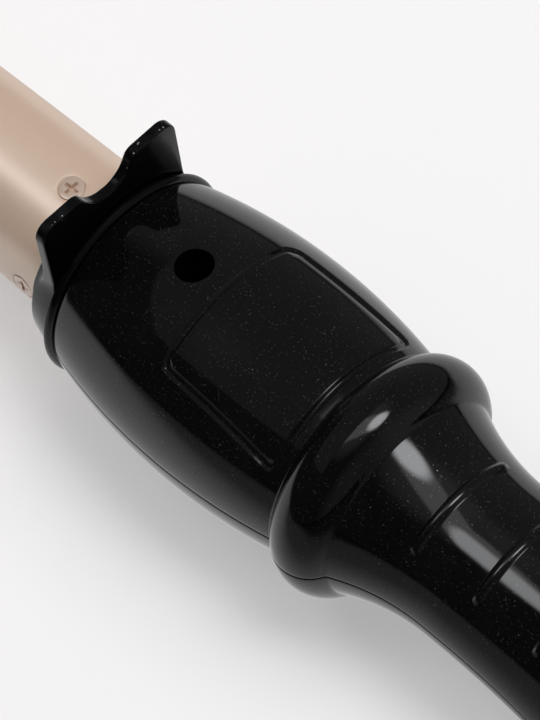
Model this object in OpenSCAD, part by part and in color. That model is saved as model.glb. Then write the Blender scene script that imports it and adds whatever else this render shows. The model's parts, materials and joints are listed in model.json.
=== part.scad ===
// Conical curling wand, lying button side down with its rating panel up.
// The wand's axis runs along X, with the barrel towards -X and the cord gland towards +X.
// Every distance "along" is measured from the front face of the handle shells.

/* [Barrel] */
// Diameter of the barrel where it leaves the guard
barrel_base_d = 25; // [24:0.5:25.5]
// Diameter of the barrel at the tip cap
barrel_tip_d = 18.6; // [17.5:0.1:21]
// Length of bare barrel between the guard and the tip cap
barrel_len = 124; // [110:1:150]
// How the taper grows along the barrel, 1 for a straight cone
barrel_curve = 1.4; // [1:0.1:1.8]
// Wall of the barrel tube
barrel_wall = 0.8; // [0.7:0.05:1]
// Length of barrel tube hidden inside the handle
barrel_root = 6; // [5.8:0.1:6.4]
// Length of the cool tip cap
tip_cap_len = 18; // [14:0.5:24]
// How far the tip cap stands proud of the barrel
tip_cap_step = 0.3; // [0.2:0.1:0.6]
// Length of the tip cap's spigot inside the barrel
tip_spigot_len = 7; // [5:0.5:9]
// Wall of the tip cap
tip_cap_wall = 1.4; // [1.2:0.1:1.8]

/* [Barrel screws] */
// Number of countersunk screws round the barrel
barrel_screw_count = 4; // [3, 4]
// Distance of the barrel screws in front of the guard
barrel_screw_ahead = 8.3; // [7:0.1:9.5]
// Diameter of a barrel screw's head
barrel_screw_head_d = 4; // [3.6:0.1:4.4]
// Diameter of a barrel screw's shank
barrel_screw_d = 2.2; // [2:0.1:2.5]
// Length of a barrel screw
barrel_screw_len = 3.4; // [3:0.1:3.6]
// Width of the cross recess in a screw head
cross_w = 0.6; // [0.4:0.1:0.7]
// Depth of the cross recess in a screw head
cross_depth = 0.8; // [0.5:0.1:0.9]

/* [Heater] */
// Distance from the guard to the heat spreaders
spreader_ahead = 22; // [21:0.5:26]
// Length of the heat spreaders
spreader_len = 54; // [50:1:64]
// Wall of the heat spreaders
spreader_wall = 1.2; // [1:0.1:1.5]
// Thickness of a heating stone
stone_t = 2.2; // [1.8:0.1:2.4]
// Width of a heating stone
stone_w = 12; // [10:0.5:12.5]
// Length of a heating stone
stone_len = 15; // [12:0.5:16]
// Number of heating stones
stone_count = 3; // [2, 3]
// Gap between heating stones
stone_gap = 1; // [0.6:0.1:1.6]
// Thickness of an electrode plate
electrode_t = 0.4; // [0.3:0.1:0.5]
// How far an electrode plate stays inside the spreader's ends
electrode_inset = 1; // [0.6:0.1:1.5]
// Length of an electrode's tab behind the spreaders
tab_len = 3; // [2.6:0.1:4]
// Distance behind the spreaders where a tab steps down to the axis
tab_step = 1; // [0.8:0.1:1.2]
// Thickness of the insulating film
film_t = 0.3; // [0.2:0.1:0.4]
// How far the film reaches past the electrode on each side
film_edge = 1.2; // [0.8:0.1:1.5]
// Radius of the thermal fuse
fuse_r = 1.5; // [1.2:0.1:1.6]
// Length of the thermal fuse
fuse_len = 10; // [8:0.5:12]
// Radius of the temperature sensor
sensor_r = 1.4; // [1.2:0.1:1.6]
// Length of the temperature sensor
sensor_len = 5; // [4:0.5:7]
// Radius of a lead, insulation included
lead_r = 0.7; // [0.5:0.05:0.75]
// Distance of the heater leads from the axis
heater_lead_y = 5.4; // [5.2:0.1:6]
// Sideways distance of the fuse and sensor leads from the axis
signal_lead_y = 5; // [5:0.05:5.2]
// Upward distance of the fuse lead from the axis, and downward of the sensor lead
signal_lead_z = 5.2; // [5:0.05:5.3]
// Radius of a lead crimp
crimp_r = 1.2; // [1:0.05:1.3]
// Length of a lead crimp
crimp_len = 5; // [4:0.5:6]
// Thickness of a lead crimp's closed end
crimp_end_t = 1; // [0.8:0.1:1.4]
// Distance along where the heater leads turn down to the board
heater_lead_x = 23.4; // [23.2:0.1:23.8]
// Distance along where the fuse lead turns down to the board
fuse_lead_x = 32.5; // [31:0.1:33]
// Distance along where the sensor lead turns down to the board
sensor_lead_x = 21.2; // [20.9:0.1:21.4]

/* [Bush] */
// Length of the heat resistant bush inside the barrel
bush_in_barrel = 19.5; // [17:0.5:21]
// Radius of the bush's bore, which the leads pass through
bush_bore_r = 8.4; // [8.2:0.1:8.6]
// Radius of the bush's shoulder
bush_shoulder_r = 14; // [13.6:0.1:14.4]
// Thickness of the bush's shoulder
bush_shoulder_t = 3; // [2.5:0.1:3.2]
// Thickness of the mica washer
mica_t = 0.6; // [0.4:0.1:0.8]

/* [Guard] */
// Thickness of the guard plate
plate_t = 1.8; // [1.4:0.1:2.2]
// How far the guard's collar reaches ahead of its plate
collar_ahead = 3.5; // [3:0.1:4]
// Width of the collar's band behind the plate
collar_band_w = 0.7; // [0.5:0.1:0.9]
// Width of the groove between the collar and the handle
groove_w = 1; // [0.8:0.1:1.2]
// Half the width across both ears
ear_half_w = 13.3; // [12.8:0.1:14]
// Height of the ears above the axis
ear_top = 25.3; // [24.5:0.1:26]
// Height of the valley between the ears above the axis
valley_z = 21.3; // [21:0.1:21.8]
// Radius of the valley between the ears
valley_r = 5; // [4.4:0.1:5.4]
// Slope angle at which the valley meets an ear
valley_angle = 25; // [20:1:30]
// Radius of an ear's outer corner
ear_corner_r = 2.4; // [1.8:0.1:2.8]
// Radius of the fillets where the ears run into the collar
ear_root_r = 5; // [4.4:0.1:5.4]
// Wall of the guard's neck round the barrel
guard_neck_wall = 1; // [0.8:0.1:1.1]
// How far the guard's locking rim stands out from its neck
guard_rim_h = 1.2; // [0.9:0.1:1.3]
// Thickness of the guard's locking rim
guard_rim_t = 1.8; // [1.5:0.1:2]

/* [Handle] */
// Length of the handle shells
handle_len = 152; // [149:1:154]
// Wall of the handle shells
shell_wall = 2.3; // [2:0.1:2.4]
// Width of the seam between the shells
seam_w = 0.16; // [0.1:0.02:0.24]
// Radius at the belly, the handle's front swelling
belly_r = 20.15; // [19.8:0.05:20.2]
// Distance along of the belly's crest
belly_x = 24.7; // [23:0.1:26]
// Radius of the belly's long curve
belly_arc_r = 100; // [95:1:115]
// Radius at the ball behind the belly
ball_r = 20.3; // [19.9:0.05:20.3]
// Distance along of the ball's crest
ball_x = 50.5; // [50:0.1:51]
// Rounding of the ball towards the belly
ball_front_arc_r = 5.9; // [5.4:0.1:6.4]
// Rounding of the ball towards the grip
ball_back_arc_r = 5.9; // [5.4:0.1:6.4]
// Radius of the long curve from the ball down to the grip's waist
waist_arc_r = 36; // [34:0.5:38]
// Radius at the grip's waist
grip_r = 13.4; // [13.2:0.1:14]
// Distance along where the waist begins
grip_x = 71.4; // [70:0.1:72]
// Distance along where the grip starts to widen
flare_x = 75; // [73:0.5:78]
// Share of the widening stretch that curves outward before it turns to the palm swelling
flare_share = 0.49; // [0.35:0.01:0.6]
// Radius at the swelling for the palm
palm_r = 16.4; // [16:0.1:17]
// Distance of the palm swelling's crest from the handle's tail
palm_from_tail = 30; // [28:1:34]
// Radius of the curve that closes the handle's tail
tail_arc_r = 70; // [66:1:80]
// Thickness of the shell's front lip
front_lip_t = 1.5; // [1.3:0.1:1.8]
// Thickness of the inner ribs that hold the guard and the bush
inner_rib_t = 1.6; // [1.4:0.1:1.8]
// Thickness of the alignment tongue along the seam
tongue_t = 0.8; // [0.6:0.1:1]
// Height of the alignment tongue above the seam
tongue_h = 1.2; // [0.8:0.1:1.6]
// How far the alignment tongue's root reaches below the seam
tongue_root_h = 3; // [2:0.1:4]

/* [Grip ribs] */
// Number of finger ribs
rib_count = 5; // [3:1:5]
// Distance along of the first finger rib
rib_x = 66.7; // [65:0.1:68]
// Distance between finger ribs
rib_pitch = 11.7; // [10.5:0.1:12.5]
// Half the angle that a finger rib spans
rib_half_angle = 44; // [36:1:50]
// Radius of a finger rib's section
rib_section_r = 0.9; // [0.7:0.1:1.1]
// How far a finger rib stands out
rib_proud = 0.45; // [0.3:0.05:0.6]

/* [Rating panel] */
// Distance along of the rating panel's front edge
panel_front_x = 21.4; // [20.5:0.1:22.5]
// Length of the rating panel
panel_len = 22.4; // [20:0.1:23]
// Half the width of the rating panel at its front
panel_front_half_w = 13.2; // [12:0.1:13.6]
// Half the width of the rating panel at its back
panel_back_half_w = 13.9; // [12.6:0.1:14.2]
// Radius of the rating panel's corners
panel_corner_r = 1.6; // [1.2:0.1:2.2]
// Width of the groove round the rating panel
panel_groove_w = 0.9; // [0.7:0.1:1.2]
// Depth of the groove round the rating panel
panel_groove_depth = 0.4; // [0.3:0.05:0.5]

/* [Handle screws] */
// Distance along of the handle's front screw
front_screw_x = 15.1; // [15.1:0.1:15.3]
// Distance of the handle's back screw from the handle's tail
back_screw_from_tail = 28; // [27:0.5:32]
// Radius of the screw holes in the rear shell
screw_hole_r = 2.9; // [2.7:0.05:2.95]
// Wall of the tube round a screw hole
screw_tube_wall = 1.1; // [0.9:0.05:1.2]
// Height of the screw's seat above the axis
screw_seat_z = 4.6; // [4.2:0.1:5.2]
// Thickness of the seat under the screw's head
screw_seat_t = 1.5; // [1.3:0.1:1.8]
// Radius of the handle screw's head
handle_screw_head_r = 2.5; // [2.3:0.05:2.6]
// Height of the handle screw's head
handle_screw_head_h = 1.8; // [1.5:0.1:2.2]
// Radius of the handle screw's shank
handle_screw_r = 1.25; // [1.1:0.05:1.4]
// Length of the handle screw's shank
handle_screw_len = 9; // [7:0.5:10]
// Radius of the front shell's screw pillars
pillar_r = 3.2; // [2.9:0.1:3.4]

/* [Control console] */
// Distance of the console's flat face below the axis
console_drop = 20.4; // [20.3:0.1:20.8]
// Distance along of the console's middle
console_x = 23.5; // [23.3:0.1:23.8]
// Half the length of the console
console_half_len = 20.8; // [20.6:0.1:21]
// Half the width of the console
console_half_w = 10.5; // [9.6:0.1:11]
// Width of the console's rim round the control panel
console_rim_w = 1.1; // [0.9:0.1:1.2]
// Thickness of the control panel
control_panel_t = 0.8; // [0.6:0.1:1]
// How far the control panel lies below the console's rim
control_panel_recess = 0.3; // [0.2:0.05:0.4]
// Thickness of the shell wall under the control panel
console_wall = 2; // [1.8:0.1:2.2]

/* [Buttons] */
// Distance along of the power button
power_x = 23.5; // [23.4:0.1:23.8]
// Radius of the power button
power_r = 3.8; // [3.4:0.1:3.9]
// Distance along of the cooler button
minus_x = 33.9; // [33.7:0.1:34]
// Distance along of the warmer button
plus_x = 40.3; // [40.2:0.1:40.5]
// Half the width of the cooler and warmer buttons, along the handle
key_half_w = 2.5; // [2.2:0.1:2.6]
// Half the length of the cooler and warmer buttons, across the handle
key_half_len = 4.4; // [3.8:0.1:4.8]
// How far a button's retaining edge stands out
key_edge = 0.5; // [0.4:0.05:0.55]
// Thickness of a button's retaining edge
key_edge_t = 0.6; // [0.5:0.05:0.7]
// How far a button moves
key_travel = 0.5; // [0.3:0.05:0.6]
// How far a button's face lies below the control panel
key_recess = 0.2; // [0.15:0.05:0.3]
// Clearance round a button in its hole
key_gap = 0.3; // [0.2:0.05:0.4]
// Distance along of the indicator light
light_x = 29.3; // [29.2:0.1:29.4]
// Radius of the indicator lens
lens_r = 0.9; // [0.7:0.05:1]
// How far the lens's inner edge stands out
lens_edge = 0.4; // [0.3:0.05:0.45]

/* [Circuit board] */
// Distance along of the board's front edge
board_x = 19.2; // [19.1:0.1:19.6]
// Length of the board
board_len = 35.6; // [34:0.1:36]
// Half the width of the board
board_half_w = 9.2; // [8.9:0.1:9.3]
// Thickness of the board
board_t = 1.6; // [1.4:0.1:1.7]
// Height of a tact switch's body
switch_h = 3; // [2.8:0.05:3.1]
// Width of a tact switch's body
switch_w = 5; // [4.6:0.1:5.2]
// Height of a tact switch's plunger
plunger_h = 0.7; // [0.6:0.05:0.8]
// Radius of a tact switch's plunger
plunger_r = 1.6; // [1.2:0.1:1.8]
// Radius of the indicator light's body
led_r = 1.3; // [1.1:0.05:1.4]
// Length of the indicator light's body
led_len = 3.4; // [3:0.1:3.6]
// Distance along of the two front board screws
board_screw_x = 27; // [26.8:0.1:27.4]
// Sideways distance of the two front board screws
board_screw_y = 7; // [6.9:0.1:7.1]
// Radius of the board's posts
post_r = 1.7; // [1.5:0.1:1.8]
// Radius of a board screw's shank
board_screw_r = 0.8; // [0.7:0.05:0.9]
// Radius of a board screw's head
board_screw_head_r = 1.5; // [1.3:0.1:1.6]
// Height of a board screw's head
board_screw_head_h = 1.1; // [0.9:0.1:1.3]
// Length of a board screw's shank
board_screw_len = 4.4; // [4:0.1:4.8]
// Distance between the board's components and its long edges
board_margin = 0.5; // [0.3:0.1:0.7]
// Distance along of the film capacitor's front
film_cap_x = 34.9; // [34.6:0.1:36]
// Length of the film capacitor
film_cap_len = 9.5; // [8:0.5:10.5]
// Width of the film capacitor
film_cap_w = 5.4; // [4.6:0.1:5.8]
// Height of the film capacitor
film_cap_h = 6; // [5:0.5:7]
// Distance along of the smoothing capacitor
round_cap_x = 40.3; // [40:0.1:40.6]
// Radius of the smoothing capacitor
round_cap_r = 2.5; // [2:0.1:2.8]
// Height of the smoothing capacitor
round_cap_h = 6; // [5:0.1:6.5]
// Distance along of the triac's front
triac_x = 44.7; // [44.4:0.1:46]
// Length of the triac
triac_len = 4.4; // [4:0.1:4.8]
// Width of the triac
triac_w = 4.6; // [4:0.1:5]
// Height of the triac
triac_h = 5.5; // [4.5:0.5:6]
// Distance along of the control chip's front
chip_x = 29.9; // [29.6:0.1:30.4]
// Length of the control chip
chip_len = 6; // [5:0.5:7]
// Width of the control chip
chip_w = 4; // [3.6:0.1:4.4]
// Height of the control chip
chip_h = 1.6; // [1.2:0.1:2]
// Distance of the supply leads' joints from the board's back edge
supply_lead_inset = 2.5; // [2:0.1:3]

/* [Cord gland] */
// Radius of the gland's spindle in its bearings
spindle_r = 5.3; // [5.1:0.1:5.5]
// Radius of the gland's bore for the cord
cord_bore_r = 3.1; // [2.8:0.1:3.3]
// Radius of the gland's nose behind the handle
nose_r = 7.6; // [7:0.1:8.2]
// Length of the gland's nose behind the handle
nose_len = 7.5; // [6.5:0.5:10]
// Radius of the nose's rounded edge
nose_corner_r = 3; // [2:0.1:3.6]
// Radius of the gland's thrust flange
thrust_r = 7.5; // [7:0.1:7.8]
// Thickness of the gland's thrust flange
thrust_t = 2; // [1.6:0.1:2.4]
// Running clearance of the spindle in its bearings
running_gap = 0.06; // [0.03:0.01:0.09]
// Thickness of the handle's end wall and of its inner bearing
bearing_t = 1.8; // [1.6:0.1:2.2]
// Radius of the spindle under the slip rings
ring_seat_r = 4.3; // [4.1:0.1:4.5]
// Outer radius of the slip rings
ring_r = 5; // [4.9:0.1:5.2]
// Width of a slip ring
ring_w = 2; // [1.6:0.1:2.2]
// Distance between the two slip rings' middles
ring_pitch = 4.4; // [4:0.1:4.6]
// Thickness of a contact spring
contact_t = 0.4; // [0.3:0.05:0.5]
// Half the width of the contact holder
holder_half_w = 4.2; // [3.8:0.1:4.4]

/* [Clearances] */
// Clearance between pieces that are seated on each other
seat_gap = 0.15; // [0.1:0.01:0.2]
// Clearance beside a piece that is trapped between ribs
trap_gap = 0.3; // [0.2:0.05:0.35]
// Clearance between flat pieces that are stacked or soldered
stack_gap = 0.05; // [0.02:0.01:0.08]

/* [Hidden] */
$fn = 72;

// Distances along, from the front face of the handle shells
plate_back_x = -groove_w - collar_band_w;
guard_x = plate_back_x - plate_t;
collar_x = guard_x - collar_ahead;
barrel_end_x = guard_x - barrel_len;
tip_x = barrel_end_x - tip_cap_len;
tip_spigot_x = barrel_end_x + tip_spigot_len;
barrel_screw_x = guard_x - barrel_screw_ahead;
spreader_x = guard_x - spreader_ahead;
spreader_front_x = spreader_x - spreader_len;
spreader_mid_x = spreader_x - spreader_len / 2;
tab_end_x = spreader_x + tab_len;
neck_end_x = front_lip_t + trap_gap;
rim_end_x = neck_end_x + guard_rim_t;
shoulder_x = barrel_root + seat_gap;
shoulder_end_x = shoulder_x + bush_shoulder_t;
bush_rib_x = shoulder_end_x + trap_gap;
bush_front_x = barrel_root - bush_in_barrel - seat_gap;
end_wall_x = handle_len - bearing_t;
thrust_x = end_wall_x - trap_gap - thrust_t;
bearing_x = thrust_x - trap_gap - bearing_t;
nose_end_x = handle_len + trap_gap + nose_len;
ring_back_x = bearing_x - trap_gap - ring_w;
ring_xs = [ring_back_x - ring_pitch, ring_back_x];
spindle_x = ring_xs[0] - ring_w;
supply_lead_x = board_x + board_len - supply_lead_inset;
back_screw_x = handle_len - back_screw_from_tail;

// The model's origin is under the middle of its length, on what it lies on
origin_x = (tip_x + nose_end_x) / 2;

// Radii round the barrel
barrel_base_r = barrel_base_d / 2;
barrel_tip_r = barrel_tip_d / 2;
guard_bore_r = barrel_base_r + seat_gap;
guard_neck_r = guard_bore_r + guard_neck_wall;
guard_rim_r = guard_neck_r + guard_rim_h;
bush_r = barrel_inner_r(bush_front_x) - seat_gap;

// Heights of the heater's stack above the axis
electrode_z = stone_t / 2 + stack_gap;
film_z = electrode_z + electrode_t + stack_gap;
spreader_z = film_z + film_t + stack_gap;

// Heights of the console and the board below the axis
control_panel_z = -console_drop + control_panel_recess;
recess_z = control_panel_z + control_panel_t + stack_gap;
floor_z = recess_z + console_wall;
key_face_z = control_panel_z + key_recess;
key_edge_z = floor_z + stack_gap;
plunger_z = key_edge_z + key_edge_t + key_travel + 2 * stack_gap;
board_z = plunger_z + plunger_h + switch_h + stack_gap;
board_top_z = board_z + board_t + stack_gap;
board_screw_places = [[board_screw_x, board_screw_y], [board_screw_x, -board_screw_y], [ball_x, 0]];

// The fillet ahead of the ears: how deep it ends under the collar's surface, and its centre and angle
root_sink = 0.08;
root_x = guard_x - ear_root_r;
root_reach = sqrt((belly_arc_r - root_sink + ear_root_r) ^ 2 - (belly_x - root_x) ^ 2);
root_r = root_reach + belly_r - belly_arc_r;
root_angle = atan2(belly_x - root_x, root_reach);

// The grip's curves run into each other without a corner
palm_x = handle_len - palm_from_tail;
palm_rise = palm_r - grip_r;
palm_run = palm_x - flare_x;
palm_arcs_r = (palm_run ^ 2 + palm_rise ^ 2) / (2 * palm_rise);
flare_arc_r = palm_arcs_r * flare_share;
palm_arc_r = palm_arcs_r - flare_arc_r;
palm_join_x = flare_x + palm_run * flare_share;
neck_x = neck_search(ball_x - ball_front_arc_r, ball_x, 20);
waist_x = waist_search(ball_x, ball_x + ball_back_arc_r, 20);

// Heights and sideways distances at the slip rings, above the tail's inner wall
contact_z = -ring_r - running_gap - contact_t;
contact_leg_y = holder_half_w + seat_gap;
supply_lead_y = contact_leg_y + contact_t + seat_gap + lead_r;
holder_bottom_z = -sqrt(handle_inner_r(bearing_x) ^ 2 - holder_half_w ^ 2) + trap_gap;
contact_leg_z = -sqrt(handle_inner_r(bearing_x) ^ 2 - (contact_leg_y + contact_t) ^ 2) + trap_gap;
supply_lead_z = -sqrt((handle_inner_r(bearing_x) - lead_r - trap_gap) ^ 2 - supply_lead_y ^ 2);

// Spacing of the stations along the curved outlines
station = 1.5;
ball_station = 0.6;
barrel_station = 8;
// Reach of the boxes that cut a body in half
reach = 400;
// How far shapes of one piece run into each other, and how far a cut runs past a face
join = 0.5;
cut_over = 1;
// Span of a cross recess for each millimetre of its head's radius
recess_span = 1.3;

// How far an arc of a radius falls away at a distance from its crest
function arc_drop(radius, distance) = radius - sqrt(radius ^ 2 - distance ^ 2);

// Points on an arc from one angle to another
function arc_points(centre, radius, from, to, steps = 8) = [
    for (i = [0:steps]) let (a = from + (to - from) * i / steps) centre + radius * [cos(a), sin(a)]
];

// Evenly spaced places from one distance to another
function places(from, to, gap) = let (n = ceil((to - from) / gap)) [
    for (i = [0:n]) from + (to - from) * i / n
];

// Outer and inner radius of the barrel at a distance along
function barrel_r(x) = x > guard_x
    ? barrel_base_r
    : barrel_base_r - (barrel_base_r - barrel_tip_r) * ((guard_x - x) / barrel_len) ^ barrel_curve;
function barrel_inner_r(x) = barrel_r(x) - barrel_wall;
function spreader_r(x) = barrel_inner_r(x) - seat_gap;

// Where each of the barrel's screws goes round it, in degrees
barrel_screw_turns = [for (i = [0:barrel_screw_count - 1]) i * 360 / barrel_screw_count];

// Outer radius of the handle at a distance along
function belly_curve(x) = belly_r - arc_drop(belly_arc_r, x - belly_x);
function ball_front_curve(x) = ball_r - arc_drop(ball_front_arc_r, min(ball_x - x, ball_front_arc_r));
function neck_search(low, high, steps) = steps == 0 ? low : let (middle = (low + high) / 2)
    belly_curve(middle) > ball_front_curve(middle)
        ? neck_search(middle, high, steps - 1)
        : neck_search(low, middle, steps - 1);
function ball_back_curve(x) = ball_r - arc_drop(ball_back_arc_r, min(x - ball_x, ball_back_arc_r));
function waist_curve(x) = grip_r + arc_drop(waist_arc_r, max(grip_x - x, 0));
function waist_search(low, high, steps) = steps == 0 ? low : let (middle = (low + high) / 2)
    ball_back_curve(middle) > waist_curve(middle)
        ? waist_search(middle, high, steps - 1)
        : waist_search(low, middle, steps - 1);
function grip_curve(x) =
    x < flare_x ? grip_r :
    x < palm_join_x ? grip_r + arc_drop(flare_arc_r, x - flare_x) :
    x < palm_x ? palm_r - arc_drop(palm_arc_r, palm_x - x) :
    palm_r - arc_drop(tail_arc_r, x - palm_x);
function handle_r(x) =
    x < neck_x ? belly_curve(x) :
    x < ball_x ? ball_front_curve(x) :
    x < waist_x ? ball_back_curve(x) :
    x < flare_x ? waist_curve(x) :
    grip_curve(x);
function handle_inner_r(x) = handle_r(x) - shell_wall;

// Distances along at which the handle's outline has a point
handle_stations = concat(
    places(0, neck_x, station),
    places(neck_x + ball_station / 4, ball_x, ball_station),
    places(ball_x + ball_station, waist_x, ball_station),
    places(waist_x + station, flare_x, station),
    places(flare_x + 2 * station, handle_len, 2 * station)
);

// Turns an outline of [radius, distance along] points round the wand's axis
module turned(outline) {
    rotate([0, 90, 0]) rotate_extrude() polygon(outline);
}

// Stands the wand on the surface that it lies on
module placed() {
    translate([-origin_x, 0, console_drop]) children();
}

// A ring round the axis
module ring(from, to, inner, outer) {
    turned([[inner, from], [outer, from], [outer, to], [inner, to]]);
}

// A round bar along the axis direction
module bar_x(from, to, radius) {
    translate([from, 0, 0]) rotate([0, 90, 0]) cylinder(r = radius, h = to - from);
}

// The solid inside the handle's outline, shrunk by a wall
module handle_core(from, to, wall = 0) {
    inside = [for (x = handle_stations) if (x > from && x < to) [handle_r(x) - wall, x]];
    turned(concat(
        [[0, from], [handle_r(from) - wall, from]],
        inside,
        [[handle_r(to) - wall, to], [0, to]]
    ));
}

// Keeps what lies above or below a height
module above(z) {
    intersection() {
        children();
        translate([-reach / 2, -reach / 2, z]) cube(reach);
    }
}

module below(z) {
    intersection() {
        children();
        translate([-reach / 2, -reach / 2, z - reach]) cube(reach);
    }
}

// An outline with two straight sides and two round ends
module pill(half_len, half_w) {
    straight = half_len - half_w;
    square([2 * straight, 2 * half_w], center = true);
    for (side = [-1, 1]) translate([side * straight, 0]) circle(r = half_w);
}

// A cross recess, centred on the top of a screw head
module cross_recess(width, span, depth) {
    for (turn = [0, 90]) {
        rotate(turn) translate([0, 0, -depth / 2]) cube([span, width, depth], center = true);
    }
}

module barrel() {
    stations = places(barrel_end_x, guard_x, barrel_station);
    back = len(stations) - 1;
    outer = concat([for (x = stations) [barrel_r(x), x]], [[barrel_base_r, barrel_root]]);
    inner = concat(
        [[barrel_inner_r(barrel_root), barrel_root]],
        [for (i = [back:-1:0]) [barrel_inner_r(stations[i]), stations[i]]]
    );
    surface_r = barrel_r(barrel_screw_x);
    sink_r = barrel_screw_head_d / 2 + seat_gap;
    shank_r = barrel_screw_d / 2 + seat_gap;
    placed() color("#d8c4b4") difference() {
        turned(concat(outer, inner));
        for (turn = barrel_screw_turns) rotate([turn, 0, 0]) translate([barrel_screw_x, 0, surface_r]) {
            translate([0, 0, -barrel_wall]) cylinder(r1 = shank_r, r2 = sink_r, h = barrel_wall);
            cylinder(r = sink_r, h = barrel_wall);
            translate([0, 0, -2 * barrel_wall]) cylinder(r = shank_r, h = 2 * barrel_wall);
        }
    }
}

module tip_cap() {
    cap_r = barrel_tip_r + tip_cap_step;
    spigot_r = barrel_inner_r(barrel_end_x) - seat_gap;
    hollow_r = spigot_r - tip_cap_wall;
    placed() color("#1b1b1c") difference() {
        turned(concat(
            [[0, tip_spigot_x], [spigot_r, tip_spigot_x]],
            [[spigot_r, barrel_end_x - stack_gap], [cap_r, barrel_end_x - stack_gap]],
            [for (p = arc_points([0, 0], cap_r, 0, 90, 12)) [p.x, tip_x + cap_r - p.y]]
        ));
        bar_x(tip_x + cap_r, tip_spigot_x + cut_over, hollow_r);
        translate([tip_x + cap_r, 0, 0]) sphere(r = hollow_r);
    }
}

module barrel_screw() {
    head_r = barrel_screw_head_d / 2;
    shank_r = barrel_screw_d / 2;
    difference() {
        union() {
            translate([0, 0, -barrel_wall]) cylinder(r1 = shank_r, r2 = head_r, h = barrel_wall);
            translate([0, 0, -barrel_screw_len])
                cylinder(r = shank_r, h = barrel_screw_len - barrel_wall / 2);
        }
        cross_recess(cross_w, recess_span * head_r, cross_depth);
    }
}

module barrel_screws() {
    head_z = barrel_r(barrel_screw_x) - stack_gap;
    placed() color("#cbb9a8") for (turn = barrel_screw_turns) {
        rotate([turn, 0, 0]) translate([barrel_screw_x, 0, head_z]) barrel_screw();
    }
}

module barrel_bush() {
    pilot_r = barrel_screw_d / 2 + stack_gap;
    placed() color("#3c3a36") difference() {
        union() {
            ring(bush_front_x, shoulder_x + join, bush_bore_r, bush_r);
            ring(shoulder_x, shoulder_end_x, bush_bore_r, bush_shoulder_r);
        }
        for (turn = barrel_screw_turns) {
            rotate([turn, 0, 0]) translate([barrel_screw_x, 0, 0]) cylinder(r = pilot_r, h = 2 * bush_r);
        }
    }
}

module mica_washer() {
    placed() color("#b9a878")
        ring(bush_front_x - stack_gap - mica_t, bush_front_x - stack_gap, bush_bore_r, bush_r);
}

// The heat spreaders' cone, shrunk by a wall and lengthened at both ends
module spreader_cone(wall, extra) {
    front_r = spreader_r(spreader_front_x) - wall;
    back_r = spreader_r(spreader_x) - wall;
    turned([
        [0, spreader_front_x - extra], [front_r, spreader_front_x - extra],
        [back_r, spreader_x + extra], [0, spreader_x + extra]
    ]);
}

// Half of the heat spreader pair, hollow inside
module heat_spreader() {
    difference() {
        above(spreader_z) spreader_cone(0, 0);
        above(spreader_z + spreader_wall) spreader_cone(spreader_wall, cut_over);
    }
}

module heat_spreader_upper() {
    placed() color("#b8bbbe") heat_spreader();
}

module heat_spreader_lower() {
    placed() color("#b8bbbe") rotate([180, 0, 0]) heat_spreader();
}

// A flat plate of the heater's stack, centred on the spreaders
module heater_plate(length, width, from, thickness) {
    translate([spreader_mid_x - length / 2, -width / 2, from]) cube([length, width, thickness]);
}

module heating_stones() {
    pitch = stone_len + stone_gap;
    start = spreader_mid_x - (stone_count * pitch - stone_gap) / 2;
    placed() color("#6d6a66") for (i = [0:stone_count - 1]) {
        translate([start + i * pitch, -stone_w / 2, -stone_t / 2]) cube([stone_len, stone_w, stone_t]);
    }
}

// An electrode plate with a tab that steps down to its lead
module electrode() {
    tab_w = 2 * lead_r;
    plate_end_x = spreader_x - electrode_inset;
    step_x = spreader_x + tab_step;
    heater_plate(spreader_len - 2 * electrode_inset, stone_w, electrode_z, electrode_t);
    translate([0, heater_lead_y - lead_r, 0]) {
        translate([plate_end_x - tab_w, 0, electrode_z])
            cube([step_x - plate_end_x + tab_w, tab_w, electrode_t]);
        translate([step_x - electrode_t, 0, -electrode_t / 2])
            cube([electrode_t, tab_w, electrode_z + electrode_t]);
        translate([step_x - electrode_t, 0, -electrode_t / 2])
            cube([tab_end_x - step_x + electrode_t, tab_w, electrode_t]);
    }
}

module electrode_upper() {
    placed() color("#c98f5a") electrode();
}

module electrode_lower() {
    placed() color("#c98f5a") rotate([180, 0, 0]) electrode();
}

module film_upper() {
    placed() color("#c98a2e") heater_plate(spreader_len, stone_w + 2 * film_edge, film_z, film_t);
}

module film_lower() {
    placed() color("#c98a2e") rotate([180, 0, 0])
        heater_plate(spreader_len, stone_w + 2 * film_edge, film_z, film_t);
}

module thermal_fuse() {
    placed() color("#d9d6cf") translate([0, -signal_lead_y, signal_lead_z])
        bar_x(spreader_x - fuse_len, spreader_x, fuse_r);
}

module temperature_sensor() {
    placed() color("#2f3b2f") translate([0, signal_lead_y, -signal_lead_z])
        bar_x(spreader_x - sensor_len, spreader_x, sensor_r);
}

module lead_crimps() {
    from = tab_end_x + stack_gap;
    placed() color("#c9c9c9") for (side = [-1, 1]) {
        translate([0, side * heater_lead_y, 0]) difference() {
            bar_x(from, from + crimp_len, crimp_r);
            bar_x(from + crimp_end_t, from + crimp_len + cut_over, lead_r + stack_gap);
        }
    }
}

// A lead that runs along the wand and then turns down to the board
module lead(from, to, depth) {
    bar_x(from, to, lead_r);
    translate([to, 0, 0]) sphere(r = lead_r);
    translate([to, 0, -depth]) cylinder(r = lead_r, h = depth);
}

module heater_leads() {
    from = tab_end_x + crimp_end_t + 2 * stack_gap;
    placed() color("#c8c2b2") for (side = [-1, 1]) {
        translate([0, side * heater_lead_y, 0]) lead(from, heater_lead_x, -board_top_z);
    }
}

module fuse_lead() {
    placed() color("#c8c2b2") translate([0, -signal_lead_y, signal_lead_z])
        lead(spreader_x + stack_gap, fuse_lead_x, signal_lead_z - board_top_z);
}

module sensor_lead() {
    placed() color("#a6402f") translate([0, signal_lead_y, -signal_lead_z])
        lead(spreader_x + stack_gap, sensor_lead_x, -signal_lead_z - board_top_z);
}

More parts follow.
